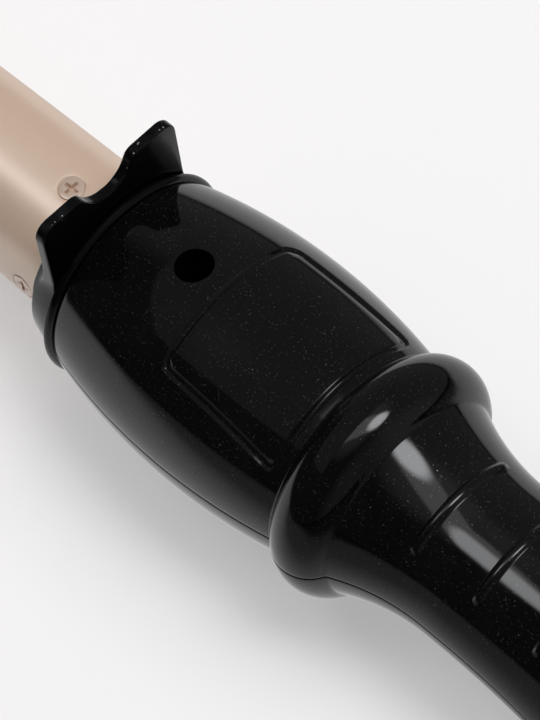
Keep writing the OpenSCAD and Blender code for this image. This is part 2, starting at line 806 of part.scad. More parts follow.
// Outline of both ears and the valley between them, seen along the axis
function guard_ear_side() =
    let (
        valley_centre = [0, valley_z + valley_r],
        slope = [cos(-valley_angle), sin(-valley_angle)],
        shoulder_z = valley_centre.y + valley_r * slope.y,
        inner_r = (ear_top - shoulder_z) / (1 + slope.y),
        inner_centre = valley_centre + (valley_r + inner_r) * slope,
        outer_centre = [ear_half_w - ear_corner_r, ear_top - ear_corner_r],
        foot_y = ear_half_w + ear_root_r,
        foot_reach = belly_curve(guard_x) - root_sink + ear_root_r,
        foot_centre = [foot_y, sqrt(foot_reach ^ 2 - foot_y ^ 2)]
    )
    concat(
        arc_points(valley_centre, valley_r, -90, -valley_angle),
        arc_points(inner_centre, inner_r, 180 - valley_angle, 90),
        arc_points(outer_centre, ear_corner_r, 90, 0),
        arc_points(foot_centre, ear_root_r, 180, 180 + atan2(foot_centre.y, foot_centre.x)),
        [[0, 0]]
    );

module guard_ears_outline() {
    side = guard_ear_side();
    last = len(side) - 2;
    polygon(concat(side, [for (i = [last:-1:1]) [-side[i].x, side[i].y]]));
}

// Extrudes an outline of [sideways, height] along the axis
module along_axis(from, thickness) {
    translate([from, 0, 0]) rotate([90, 0, 90]) linear_extrude(thickness) children();
}

// The collar round the barrel, which carries the belly's curve on ahead of the handle
module guard_collar() {
    turned(concat(
        [[0, collar_x]],
        [for (x = places(collar_x, -groove_w, station)) [belly_curve(x), x]],
        [[0, -groove_w]]
    ));
}

// The fillet between the collar and the front of the ears
module ear_root() {
    intersection() {
        turned(concat(
            [[0, guard_x + join], [root_r, guard_x + join]],
            arc_points([root_r, root_x], ear_root_r, 90, 180 - root_angle),
            [[0, root_x + ear_root_r * sin(root_angle)]]
        ));
        translate([-reach / 2, -ear_half_w, 0]) cube([reach, 2 * ear_half_w, reach]);
    }
}

module guard_flange() {
    placed() color("#141415") difference() {
        union() {
            along_axis(guard_x, plate_t) guard_ears_outline();
            guard_collar();
            ear_root();
            bar_x(plate_back_x, rim_end_x, guard_neck_r);
            bar_x(neck_end_x, rim_end_x, guard_rim_r);
        }
        bar_x(collar_x - cut_over, rim_end_x + cut_over, guard_bore_r);
    }
}

// Inner walls at the front that hold the guard and the bush, and the bearings at the tail
module handle_ribs() {
    inner_rib(rim_end_x + trap_gap, shoulder_x - trap_gap, guard_bore_r + seat_gap);
    inner_rib(bush_rib_x, bush_rib_x + inner_rib_t, bush_bore_r);
    inner_rib(bearing_x, bearing_x + bearing_t, spindle_r + running_gap);
}

// A wall across the handle with a round hole, which ends inside the shell's own wall
module inner_rib(from, to, hole_r) {
    ring(from, to, hole_r, min(handle_r(from), handle_r(to)) - shell_wall / 2);
}

// The handle's whole casing before it is split along the seam
module handle_casing() {
    difference() {
        handle_core(0, handle_len);
        handle_core(front_lip_t, end_wall_x, shell_wall);
        bar_x(-cut_over, front_lip_t + cut_over, guard_neck_r + trap_gap);
        bar_x(end_wall_x - cut_over, handle_len + cut_over, spindle_r + running_gap);
    }
    handle_ribs();
}

module rear_half() {
    above(seam_w / 2) children();
}

module front_half() {
    below(-seam_w / 2) children();
}

// The space above the surface of the rating panel's groove
module panel_groove() {
    difference() {
        panel_block(panel_groove_w / 2);
        panel_block(-panel_groove_w / 2);
        handle_core(0, neck_x, panel_groove_depth);
    }
}

module panel_block(grow) {
    r = panel_corner_r + grow;
    back_x = panel_front_x + panel_len;
    corners = [
        [panel_front_x - grow, panel_front_half_w + grow],
        [back_x + grow, panel_back_half_w + grow]
    ];
    translate([0, 0, belly_r / 2]) linear_extrude(belly_r) polygon(concat(
        arc_points(corners[0] + [r, -r], r, 180, 90, 4),
        arc_points(corners[1] - [r, r], r, 90, 0, 4),
        arc_points([corners[1].x - r, r - corners[1].y], r, 0, -90, 4),
        arc_points([corners[0].x + r, r - corners[0].y], r, -90, -180, 4)
    ));
}

// A finger rib across the label side of the grip
module finger_rib(x) {
    rotate([0, 90, 0]) rotate([0, 0, 180 - rib_half_angle]) rotate_extrude(angle = 2 * rib_half_angle)
        translate([handle_r(x) + rib_proud - rib_section_r, x]) circle(r = rib_section_r, $fn = 24);
}

// The outer wall of the tube that a handle screw goes down
module screw_tube(x) {
    bottom_z = screw_seat_z - screw_seat_t;
    translate([x, 0, bottom_z])
        cylinder(r = screw_hole_r + screw_tube_wall, h = handle_inner_r(x) - bottom_z + join);
}

module rear_shell() {
    placed() color("#101011") difference() {
        union() {
            rear_half() handle_casing();
            for (x = [front_screw_x, back_screw_x]) screw_tube(x);
            intersection() {
                for (i = [0:rib_count - 1]) finger_rib(rib_x + i * rib_pitch);
                difference() {
                    handle_core(rib_x - rib_pitch / 2, end_wall_x, -2 * rib_proud);
                    handle_core(0, handle_len, shell_wall / 2);
                }
            }
        }
        for (x = [front_screw_x, back_screw_x]) {
            translate([x, 0, screw_seat_z]) cylinder(r = screw_hole_r, h = belly_r);
            translate([x, 0, 0]) cylinder(r = handle_screw_r + 2 * seat_gap, h = belly_r);
        }
        panel_groove();
    }
}

// The alignment tongue that the front shell pushes up inside the rear shell
module tongue(from, to) {
    outer = shell_wall + trap_gap / 2;
    inner = outer + tongue_t;
    tongue_layer(from, to, shell_wall - join, inner, -tongue_root_h, -join);
    tongue_layer(from, to, outer, inner, -tongue_root_h, tongue_h);
}

// A wall between two depths under the handle's surface and between two heights
module tongue_layer(from, to, outer, inner, bottom, top) {
    below(top) above(bottom) difference() {
        handle_core(from, to, outer);
        handle_core(from - cut_over, to + cut_over, inner);
    }
}

// Cuts for a button or a lens through the console's wall
module console_cut(x) {
    translate([x, 0, -console_drop - cut_over])
        linear_extrude(console_drop + floor_z + 2 * cut_over) children();
}

module power_outline(grow) {
    circle(r = power_r + grow);
}

module key_outline(grow) {
    rotate(90) pill(key_half_len + grow, key_half_w + grow);
}

// Room for a button's retaining edge above the console's floor
module key_pocket(x) {
    translate([x, 0, floor_z]) linear_extrude(shell_wall + key_gap) children();
}

// The console's raised outline on the button side, open to the inside of the shell
module console_block() {
    difference() {
        translate([console_x, 0, -console_drop])
            linear_extrude(console_wall + shell_wall) pill(console_half_len, console_half_w);
        handle_core(front_lip_t, neck_x + shell_wall, shell_wall);
    }
}

// The floor that the control panel lies on, up to the height of the buttons' edges
module console_floor() {
    intersection() {
        translate([console_x, 0, -console_drop])
            linear_extrude(console_drop + floor_z) pill(console_half_len - console_rim_w, console_half_w);
        handle_core(bush_rib_x, neck_x);
    }
}

// The recess that the control panel lies in, seen from the button side
module console_recess(gap) {
    pill(console_half_len - console_rim_w - gap, console_half_w - console_rim_w - gap);
}

// A pillar or post that stands on the front shell's inner wall
module post(x, y, radius, top_z) {
    bottom_z = -sqrt(handle_inner_r(x) ^ 2 - y ^ 2) - shell_wall / 2;
    translate([x, y, bottom_z]) cylinder(r = radius, h = top_z - bottom_z);
}

module front_shell() {
    pillar_top_z = screw_seat_z - screw_seat_t - stack_gap;
    screw_end_z = screw_seat_z - handle_screw_len - cut_over;
    placed() color("#101011") difference() {
        union() {
            front_half() handle_casing();
            console_block();
            console_floor();
            for (x = [front_screw_x, back_screw_x]) post(x, 0, pillar_r, pillar_top_z);
            for (p = board_screw_places) post(p.x, p.y, post_r, board_z - stack_gap);
            tongue(front_screw_x, neck_x - shell_wall);
            tongue(grip_x, palm_x - inner_rib_t);
        }
        translate([console_x, 0, -console_drop - cut_over])
            linear_extrude(recess_z + console_drop + cut_over) console_recess(0);
        console_cut(power_x) power_outline(key_gap);
        for (x = [minus_x, plus_x]) {
            console_cut(x) key_outline(key_gap);
            key_pocket(x) key_outline(key_edge + key_gap);
        }
        console_cut(light_x) circle(r = lens_r + seat_gap);
        for (x = [front_screw_x, back_screw_x]) {
            translate([x, 0, screw_end_z])
                cylinder(r = handle_screw_r + stack_gap, h = screw_seat_z - screw_end_z);
        }
        for (p = board_screw_places) {
            translate([p.x, p.y, board_z - board_screw_len])
                cylinder(r = board_screw_r + stack_gap, h = board_screw_len);
        }
    }
}

// A pan head screw that points down, with the underside of its head at zero
module pan_screw(head_r, head_h, shank_r, length) {
    difference() {
        union() {
            cylinder(r = head_r, h = head_h);
            translate([0, 0, -length]) cylinder(r = shank_r, h = length + head_h / 2);
        }
        translate([0, 0, head_h]) cross_recess(head_r / 4, recess_span * head_r, head_h / 2);
    }
}

module handle_screws() {
    placed() color("#9a9ca0") for (x = [front_screw_x, back_screw_x]) {
        translate([x, 0, screw_seat_z + stack_gap])
            pan_screw(handle_screw_head_r, handle_screw_head_h, handle_screw_r, handle_screw_len);
    }
}

module circuit_board() {
    placed() color("#2d6b3f") difference() {
        translate([board_x, -board_half_w, board_z]) cube([board_len, 2 * board_half_w, board_t]);
        for (p = board_screw_places) {
            translate([p.x, p.y, board_z - cut_over])
                cylinder(r = board_screw_r + seat_gap, h = board_t + 2 * cut_over);
        }
    }
}

module board_screws() {
    placed() color("#9a9ca0") for (p = board_screw_places) {
        translate([p.x, p.y, board_top_z])
            pan_screw(board_screw_head_r, board_screw_head_h, board_screw_r, board_screw_len);
    }
}

module tact_switches() {
    placed() color("#3a3a3d") for (x = [power_x, minus_x, plus_x]) {
        translate([x - switch_w / 2, -switch_w / 2, plunger_z + plunger_h])
            cube([switch_w, switch_w, switch_h]);
        translate([x, 0, plunger_z]) cylinder(r = plunger_r, h = plunger_h + join);
    }
}

module indicator_led() {
    placed() color("#e8e4da") translate([light_x, 0, board_z - stack_gap]) {
        translate([0, 0, led_r - led_len]) cylinder(r = led_r, h = led_len - led_r);
        translate([0, 0, led_r - led_len]) sphere(r = led_r);
    }
}

module indicator_lens() {
    placed() color("#c8403a") translate([light_x, 0, 0]) {
        translate([0, 0, control_panel_z])
            cylinder(r = lens_r, h = key_edge_z + key_edge_t - control_panel_z);
        translate([0, 0, key_edge_z]) cylinder(r = lens_r + lens_edge, h = key_edge_t);
    }
}

module film_capacitor() {
    placed() color("#b5872f") translate([film_cap_x, board_margin - board_half_w, board_top_z])
        cube([film_cap_len, film_cap_w, film_cap_h]);
}

module smoothing_capacitor() {
    placed() color("#2b3550") translate([round_cap_x, board_half_w / 2, board_top_z])
        cylinder(r = round_cap_r, h = round_cap_h);
}

module triac() {
    placed() color("#202022") translate([triac_x, board_half_w - board_margin - triac_w, board_top_z])
        cube([triac_len, triac_w, triac_h]);
}

module control_chip() {
    placed() color("#1d1d1f") translate([chip_x, board_half_w - board_margin - chip_w, board_top_z])
        cube([chip_len, chip_w, chip_h]);
}

module control_panel() {
    placed() color("#0b0b0c") difference() {
        translate([console_x, 0, control_panel_z]) linear_extrude(control_panel_t) console_recess(seat_gap);
        console_cut(power_x) power_outline(key_gap);
        for (x = [minus_x, plus_x]) console_cut(x) key_outline(key_gap);
        console_cut(light_x) circle(r = lens_r + seat_gap);
    }
}

// A button with the edge that keeps it inside the console
module button(x) {
    translate([x, 0, key_face_z]) linear_extrude(key_edge_z - key_face_z + key_edge_t / 2) children(0);
    translate([x, 0, key_edge_z]) linear_extrude(key_edge_t) children(1);
}

module power_button() {
    placed() color("#c9a58f") button(power_x) {
        power_outline(0);
        power_outline(key_gap + key_edge / 2);
    }
}

module minus_button() {
    placed() color("#c9a58f") button(minus_x) {
        key_outline(0);
        key_outline(key_edge);
    }
}

module plus_button() {
    placed() color("#c9a58f") button(plus_x) {
        key_outline(0);
        key_outline(key_edge);
    }
}

module cord_gland() {
    nose_x = handle_len + trap_gap;
    corner = [nose_r - nose_corner_r, nose_end_x - nose_corner_r];
    placed() color("#151516") difference() {
        union() {
            bar_x(spindle_x, bearing_x, ring_seat_r);
            bar_x(bearing_x - trap_gap / 2, nose_x + join, spindle_r);
            bar_x(thrust_x, thrust_x + thrust_t, thrust_r);
            turned(concat(
                [[0, nose_x], [nose_r, nose_x]],
                arc_points(corner, nose_corner_r, 0, 90, 6),
                [[0, nose_end_x]]
            ));
        }
        bar_x(spindle_x - cut_over, nose_end_x + cut_over, cord_bore_r);
    }
}

module slip_rings() {
    placed() color("#c9a24a") for (x = ring_xs) ring(x, x + ring_w, ring_seat_r + stack_gap, ring_r);
}

// Flat springs that press up on the slip rings, each with a leg beside the holder
module ring_contacts() {
    spring_len = contact_leg_y + contact_t + holder_half_w - trap_gap;
    leg_h = contact_z + contact_t - contact_leg_z;
    placed() color("#c98f5a") for (i = [0, 1]) mirror([0, 1 - i, 0]) translate([ring_xs[i], 0, 0]) {
        translate([0, trap_gap - holder_half_w, contact_z]) cube([ring_w, spring_len, contact_t]);
        translate([0, contact_leg_y, contact_leg_z]) cube([ring_w, contact_t, leg_h]);
    }
}

module contact_holder() {
    from = ring_xs[0] - trap_gap;
    placed() color("#2a2a2c") translate([from, -holder_half_w, holder_bottom_z])
        cube([bearing_x - trap_gap - from, 2 * holder_half_w, contact_z - stack_gap - holder_bottom_z]);
}

module supply_leads() {
    placed() color("#1e1e20") for (i = [0, 1]) {
        translate([0, (2 * i - 1) * supply_lead_y, supply_lead_z]) {
            bar_x(supply_lead_x, ring_xs[i] + ring_w, lead_r);
            translate([supply_lead_x, 0, 0]) sphere(r = lead_r);
            translate([supply_lead_x, 0, board_top_z - supply_lead_z])
                cylinder(r = lead_r, h = supply_lead_z - board_top_z);
        }
    }
}

barrel();
tip_cap();
barrel_screws();
barrel_bush();
mica_washer();
heat_spreader_upper();
heat_spreader_lower();
heating_stones();
electrode_upper();
electrode_lower();
film_upper();
film_lower();
thermal_fuse();
temperature_sensor();
lead_crimps();
heater_leads();
fuse_lead();
sensor_lead();
guard_flange();
rear_shell();
front_shell();
handle_screws();
circuit_board();
board_screws();
tact_switches();
indicator_led();
indicator_lens();
film_capacitor();
smoothing_capacitor();
triac();
control_chip();
control_panel();
power_button();
minus_button();
plus_button();
cord_gland();
slip_rings();
ring_contacts();
contact_holder();
supply_leads();
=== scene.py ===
# %% [markdown]
# # Dressing a conical curling wand
# The wand lies with its button side down and its rating panel up. Its parts were made to size in
# CAD, and they come in here as a fixed frame: 40 nodes on five bodies, in metres. This lesson gives
# every part the surface that the real one has. Shapes that need finer modelling, such as the
# rounded seam or the dished screw heads, are built again as meshes in the same place. Parts whose
# shape is already right keep it and only get a finish.

import json
import math

import bmesh
import bpy
from mathutils import Matrix, Vector


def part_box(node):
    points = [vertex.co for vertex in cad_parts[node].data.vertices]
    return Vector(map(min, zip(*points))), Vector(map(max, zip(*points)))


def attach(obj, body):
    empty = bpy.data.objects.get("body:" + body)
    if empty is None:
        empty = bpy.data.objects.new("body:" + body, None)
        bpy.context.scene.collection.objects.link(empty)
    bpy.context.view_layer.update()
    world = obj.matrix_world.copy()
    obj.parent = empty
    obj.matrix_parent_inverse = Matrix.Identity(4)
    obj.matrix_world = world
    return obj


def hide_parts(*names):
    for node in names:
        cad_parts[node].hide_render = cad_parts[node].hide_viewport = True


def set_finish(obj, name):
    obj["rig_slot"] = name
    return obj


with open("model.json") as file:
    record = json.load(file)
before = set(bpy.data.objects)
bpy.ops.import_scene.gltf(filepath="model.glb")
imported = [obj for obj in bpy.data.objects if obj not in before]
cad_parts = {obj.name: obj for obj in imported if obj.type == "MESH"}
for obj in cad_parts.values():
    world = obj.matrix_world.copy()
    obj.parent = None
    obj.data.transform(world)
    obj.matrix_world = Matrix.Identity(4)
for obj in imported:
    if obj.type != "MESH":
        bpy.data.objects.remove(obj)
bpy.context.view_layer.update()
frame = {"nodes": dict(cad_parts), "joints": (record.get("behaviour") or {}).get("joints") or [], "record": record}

# %% [markdown]
# ## Working in millimetres on the wand's own axis
# The handle, guard, barrel and cord gland all turn round one axis. Sizes are easiest to read in
# millimetres, measured along that axis from the front face of the handle. The swivel joint of the
# cord gland lies on the axis, so its height gives the height of the axis above the table.

# %% The wand's own millimetres
MM = 0.001
swivel = next(joint for joint in frame["joints"] if joint["name"] == "cord_swivel")
AXIS_Z = swivel["pos_m"][2] / MM
FACE_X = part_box("rear_shell")[0].x / MM


def to_metres(x, y, z):
    """A point in millimetres on the wand's axis, as metres in the shared frame."""
    return Vector((x + FACE_X, y, z + AXIS_Z)) * MM


def ends(node):
    """How far along a node starts and ends, in millimetres."""
    low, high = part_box(node)
    return low.x / MM - FACE_X, high.x / MM - FACE_X


HANDLE_LEN = ends("rear_shell")[1]
print(f"axis {AXIS_Z:.2f} mm above the table, handle {HANDLE_LEN:.1f} mm long")

# %% [markdown]
# ## The camera
# The photograph looks down on the wand, which runs from the upper left to the lower right. The
# camera is worked out from what the picture shows: the slope of the axis, how much nearer the grip
# is than the barrel, and how far the panel is rolled towards the upper right. Three unit vectors
# along the wand, written in the camera's own right, down and forward directions, hold all of that.

# %% Work out the camera from the picture
PHOTO = Vector((540, 720))
FOCAL = 4200.0
SCALE = 6.867
AXIS_SLOPE = math.radians(39)
NEARER = math.radians(24.7)
ROLL = math.radians(-19.5)
AIM_PIXEL = Vector((257.0, 375.4))
AIM_X = 25.2

distance = FOCAL / SCALE
aim = Vector((*((AIM_PIXEL - PHOTO / 2) / SCALE), distance))
along = Vector((math.cos(NEARER) * math.cos(AXIS_SLOPE), math.cos(NEARER) * math.sin(AXIS_SLOPE),
                -math.sin(NEARER)))
sight = aim.normalized()
facing = (along * sight.dot(along) - sight).normalized()
upward = math.cos(ROLL) * facing + math.sin(ROLL) * along.cross(facing)
wand_axes = Matrix((along, upward.cross(along), upward))

# %% Place the camera
SENSOR = 36.0


def new_object(name, data):
    """An object in the scene that shows a mesh, a lamp or a camera."""
    made = bpy.data.objects.new(name, data)
    bpy.context.scene.collection.objects.link(made)
    return made


camera_data = bpy.data.cameras.new("camera")
camera_data.lens = FOCAL * SENSOR / max(PHOTO)
camera_data.sensor_width = SENSOR
camera = new_object("camera", camera_data)
turn = wand_axes @ Matrix.Diagonal((1, -1, -1))
camera.matrix_world = Matrix.Translation(to_metres(AIM_X, 0, 0) - wand_axes @ aim * MM) @ turn.to_4x4()
bpy.context.scene.camera = camera
look_down = math.degrees(math.asin(-(turn @ Vector((0, 0, -1))).z))
print(f"camera {distance:.0f} mm away, looking down at {look_down:.0f} degrees")

# %% [markdown]
# ## Rows of points
# Almost every part of the wand is round or nearly round, so its skin can be laid out as rows of
# points that are joined into faces, as a boat is planked. A small class keeps the points and faces.
# Two rows with as many points are joined by four-sided faces. Two closed rows that differ are
# zipped with triangles, and a flat area with holes in it is filled at the end.

# %% Points and faces
class Skin:
    """Points in millimetres on the wand's axis, and the faces between them."""

    def __init__(self):
        self.points = []
        self.faces = []
        self.fills = []

    def row(self, points):
        first = len(self.points)
        self.points.extend(points)
        return list(range(first, len(self.points)))

    def join(self, first, second):
        """Four-sided faces between two closed rows with as many points."""
        for i in range(len(first)):
            j = (i + 1) % len(first)
            self.faces.append((first[i], first[j], second[j], second[i]))

    def zip(self, first, second):
        """Triangles between two closed rows, however many points each has."""
        i = j = 0
        while i < len(first) or j < len(second):
            a, b = first[i % len(first)], second[j % len(second)]
            if j == len(second) or (i < len(first) and (i + 1) * len(second) <= (j + 1) * len(first)):
                i += 1
                self.faces.append((a, first[i % len(first)], b))
            else:
                j += 1
                self.faces.append((a, second[j % len(second)], b))

    def fill(self, *loops):
        """A flat face inside the first loop, with the other loops as holes."""
        self.fills.append(loops)

    def sweep(self, rows, closed=False):
        """Joins a list of closed rows, each to the next."""
        made = [self.row(points) for points in rows]
        for first, second in zip(made, made[1:] + made[:1] if closed else made[1:]):
            self.join(first, second)
        return made

# %% [markdown]
# Blender smooths a face's shading into its neighbours. Corners sharper than 32 degrees stay crisp,
# so an edge that should catch a soft light is always modelled with a small round on it.

# %% From rows to a piece of the wand
CRISP = math.radians(32)


def make_piece(name, skin, body, slot, *nodes):
    """Turns a skin into a mesh that rides on a body and stands for CAD nodes."""
    mesh = bpy.data.meshes.new(name)
    mesh.from_pydata([to_metres(*point) for point in skin.points], [], skin.faces)
    work = bmesh.new()
    work.from_mesh(mesh)
    work.verts.ensure_lookup_table()
    for loops in skin.fills:
        edges = []
        for loop in loops:
            for a, b in zip(loop, loop[1:] + loop[:1]):
                pair = (work.verts[a], work.verts[b])
                edges.append(work.edges.get(pair) or work.edges.new(pair))
        bmesh.ops.triangle_fill(work, use_beauty=True, edges=edges)
    bmesh.ops.delete(work, geom=[v for v in work.verts if not v.link_faces], context="VERTS")
    bmesh.ops.recalc_face_normals(work, faces=work.faces)
    open_edges = sum(len(edge.link_faces) != 2 for edge in work.edges)
    work.to_mesh(mesh)
    work.free()
    mesh.shade_smooth()
    mesh.set_sharp_from_angle(angle=CRISP)
    piece = new_object(name, mesh)
    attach(piece, body)
    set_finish(piece, slot)
    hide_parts(*nodes)
    print(f"{name}: {len(mesh.polygons)} faces, {open_edges} open edges")

# %% [markdown]
# ## Curves and corners
# Moulded parts have no sharp corners. One helper turns the corners of an outline into arcs. Another
# gives the small round on an edge where two faces meet, as how far each of its points lies back
# from both faces.

# %% Arcs, even spacing and rounded corners
def arc_drop(radius, distance):
    """How far an arc falls away at a distance from its crest."""
    return radius - math.sqrt(max(radius ** 2 - distance ** 2, 0))


def quarter_round(radius, steps=5):
    """How far back each point of a quarter round lies from the two faces it joins."""
    turns = [math.pi / 2 * k / steps for k in range(steps + 1)]
    return [(radius * (1 - math.sin(turn)), radius * (1 - math.cos(turn))) for turn in turns]


def spaced(stretches, last):
    """Rising places from (start, gap) stretches, ending at last."""
    found = []
    starts = [start for start, gap in stretches] + [last]
    for (start, gap), end in zip(stretches, starts[1:]):
        count = max(1, round((end - start) / gap))
        found += [start + (end - start) * i / count for i in range(count)]
    return found + [last]


def rounded(corners, steps=6, closed=True):
    """An outline of (x, y, radius) corners with each corner turned into an arc."""
    outline = []
    for i, (x, y, radius) in enumerate(corners):
        here = Vector((x, y))
        inner = closed or 0 < i < len(corners) - 1
        if not radius or not inner:
            outline.append(here)
            continue
        back = (Vector(corners[i - 1][:2]) - here).normalized()
        ahead = (Vector(corners[(i + 1) % len(corners)][:2]) - here).normalized()
        half = back.angle(ahead) / 2
        centre = here + (back + ahead).normalized() * radius / math.sin(half)
        start = here + back * radius / math.tan(half) - centre
        stop = here + ahead * radius / math.tan(half) - centre
        outline += [centre + start.slerp(stop, k / steps) for k in range(steps + 1)]
    return outline

# %% [markdown]
# A profile that is turned round the axis makes the tip cap and the cord gland.

# %% Turn a profile round the axis
TURNS = 160


def even_turns(count):
    return [math.tau * i / count for i in range(count)]


def ring(x, radius, angles):
    """Points round the axis at angles from the crown, all at one place along it."""
    return [(x, radius * math.sin(a), radius * math.cos(a)) for a in angles]


def turned(skin, profile, columns=TURNS, closed=True):
    """A profile of (along, radius) points, turned round the axis."""
    return skin.sweep([ring(x, r, even_turns(columns)) for x, r in profile], closed)

# %% [markdown]
# ## The handle's outline
# The handle swells into a long belly, pinches into a narrow neck, swells again into a ball and
# runs down to a waist before it widens for the palm. Every stretch is an arc. Both creases beside
# the ball are real ones: there the larger of two arcs wins, with a small fillet between them.

# %% Sizes of the handle's outline
BELLY_R, BELLY_X, BELLY_ARC_R = 20.15, 24.7, 100.0
BALL_R, BALL_X, BALL_ARC_R = 20.3, 50.5, 5.9
WAIST_ARC_R, GRIP_R, GRIP_X, FLARE_X, FLARE_SHARE = 36.0, 13.4, 71.4, 75.0, 0.49
PALM_R, PALM_X, TAIL_ARC_R = 16.4, HANDLE_LEN - 30.0, 70.0
NECK_BLEND, WAIST_BLEND = 0.3, 0.5

palm_rise = PALM_R - GRIP_R
palm_run = PALM_X - FLARE_X
palm_arcs_r = (palm_run ** 2 + palm_rise ** 2) / (2 * palm_rise)
flare_arc_r = palm_arcs_r * FLARE_SHARE
palm_join_x = FLARE_X + palm_run * FLARE_SHARE

# %% The handle's radius at any place along it
def blended(a, b, width):
    """The larger of two radii, with a soft fillet where they cross."""
    near = max(width - abs(a - b), 0) / width
    return max(a, b) + near * near * width / 4


def belly(x):
    return BELLY_R - arc_drop(BELLY_ARC_R, x - BELLY_X)


def ball(x):
    return BALL_R - arc_drop(BALL_ARC_R, min(abs(x - BALL_X), BALL_ARC_R))


def grip(x):
    """The long curve to the waist, the widening for the palm and the rounded tail."""
    if x < FLARE_X:
        return GRIP_R + arc_drop(WAIST_ARC_R, max(GRIP_X - x, 0))
    if x < palm_join_x:
        return GRIP_R + arc_drop(flare_arc_r, x - FLARE_X)
    if x < PALM_X:
        return PALM_R - arc_drop(palm_arcs_r - flare_arc_r, PALM_X - x)
    return PALM_R - arc_drop(TAIL_ARC_R, x - PALM_X)


def handle_r(x):
    if x < BALL_X:
        return blended(belly(x), ball(x), NECK_BLEND)
    if x < BALL_X + BALL_ARC_R / 2:
        return ball(x)
    return blended(ball(x), grip(x), WAIST_BLEND) if x < BALL_X + BALL_ARC_R else grip(x)


print(f"belly {handle_r(BELLY_X):.2f} mm, ball {handle_r(BALL_X):.2f} mm, waist {handle_r(GRIP_X):.2f} mm")

# %% [markdown]
# ## Laying out one half of the handle
# Each shell is one closed solid: an outer skin, an inner skin, a face along the seam, a lip round
# the guard's neck and an end wall round the gland. Rows cross the shell from seam to seam. A row's
# points lie at angles from the crown, and they crowd together on a band that follows the edge of
# the rating panel and the ends of the finger ribs, where there is fine detail to hold.

# %% Sizes shared by both shells
SHELL_WALL = 2.3
SEAM, SEAM_ROUND, FRONT_ROUND, TAIL_ROUND = 0.22, 0.14, 0.2, 0.9
LIP_HOLE_R, LIP_END = 13.95, 1.5
END_WALL_X, SPINDLE_HOLE_R = HANDLE_LEN - 1.8, 5.36
INNER_RIBS = [(3.9, 5.85, 12.8), (9.45, 11.05, 8.4), (145.8, 147.6, SPINDLE_HOLE_R)]
WALL_CLEAR, INNER_GAP = 0.2, 4.0

BAND_HALF_W = 0.85
PANEL_FRONT_X, PANEL_LEN = 21.4, 22.4
PANEL_BACK_X = PANEL_FRONT_X + PANEL_LEN
PANEL_FRONT_HALF_W, PANEL_BACK_HALF_W, PANEL_CORNER_R = 13.2, 13.9, 1.6


def panel_half_w(x):
    share = min(max((x - PANEL_FRONT_X) / PANEL_LEN, 0), 1)
    return PANEL_FRONT_HALF_W + (PANEL_BACK_HALF_W - PANEL_FRONT_HALF_W) * share


def band_angle(x):
    """Angle from the crown of the band of fine detail."""
    inside = min(max(x, PANEL_FRONT_X), PANEL_BACK_X)
    return math.asin(panel_half_w(inside) / handle_r(inside))

# %% The points of one row, as angles from the crown
CENTRE_LINES, BAND_LINES, FLANK_LINES, SEAM_STEPS, INNER_LINES = 19, 16, 20, 4, 24


def line_angles(x, radius):
    """Angles of the outer skin's points at one place along the handle."""
    edge, half = band_angle(x), BAND_HALF_W / radius
    top = math.acos((SEAM / 2 + SEAM_ROUND) / radius)
    side = [(edge - half) * i / CENTRE_LINES for i in range(1, CENTRE_LINES + 1)]
    side += [edge - half + 2 * half * i / BAND_LINES for i in range(1, BAND_LINES + 1)]
    side += [edge + half + (top - edge - half) * i / FLANK_LINES for i in range(1, FLANK_LINES + 1)]
    return [-a for a in reversed(side)] + [0.0] + side


def outer_row(x, radius, lift):
    """One row across the outer skin, with the rounded edge of the seam at both ends."""
    row = []
    for angle in line_angles(x, radius):
        row += ring(x, radius + lift(x, angle * radius), [angle])
    side = math.sqrt(radius ** 2 - (SEAM / 2 + SEAM_ROUND) ** 2)
    for rise, inwards in quarter_round(SEAM_ROUND, SEAM_STEPS)[1:]:
        y, z = side - inwards, SEAM / 2 + rise
        row = [(x, -y, z)] + row + [(x, y, z)]
    return row


def inner_row(x, radius):
    """One row across the inner skin, a wall's thickness below the outer one."""
    top = math.acos(SEAM / 2 / radius)
    return ring(x, radius, [top * (2 * i / INNER_LINES - 1) for i in range(INNER_LINES + 1)])

# %% The profile of the inner skin
def inner_r(x):
    return handle_r(x) - SHELL_WALL


def inner_profile(stations):
    """(along, radius) points of the inner skin, with its lip, ribs and end wall."""
    walls = [(0.0, LIP_END), (END_WALL_X, HANDLE_LEN)] + [rib[:2] for rib in INNER_RIBS]
    free = [x for x in stations
            if all(not start - WALL_CLEAR < x < end + WALL_CLEAR for start, end in walls)]
    places = [(x, 0, inner_r(x)) for x in free + [LIP_END, END_WALL_X]]
    for start, end, hole in INNER_RIBS:
        places += [(start, 0, inner_r(start)), (start, 1, hole), (end, 2, hole), (end, 3, inner_r(end))]
    middle = [(x, r) for x, order, r in sorted(places)]
    return [(0.0, LIP_HOLE_R), (LIP_END, LIP_HOLE_R), *middle,
            (END_WALL_X, SPINDLE_HOLE_R), (HANDLE_LEN, SPINDLE_HOLE_R)]

# %% [markdown]
# ## Holes in a skin
# A hole is worked into a skin by leaving out a block of its faces and carrying the block's edge
# inwards through rings: first along the surface, then round the hole's edge and down its wall. The
# hole's outline is a pill, that is a circle stretched along the handle. Each point of the block's
# edge keeps its own place on the pill, so the rings never twist.

# %% A block that is left out of a grid of rows
def block_edge(rows, first, last, left, right):
    """The points round a block of a grid, in order, starting at its first corner."""
    edge = [rows[first][j] for j in range(left, right)]
    edge += [rows[i][right] for i in range(first, last)]
    edge += [rows[last][j] for j in range(right, left, -1)]
    return edge + [rows[i][left] for i in range(last, first, -1)]


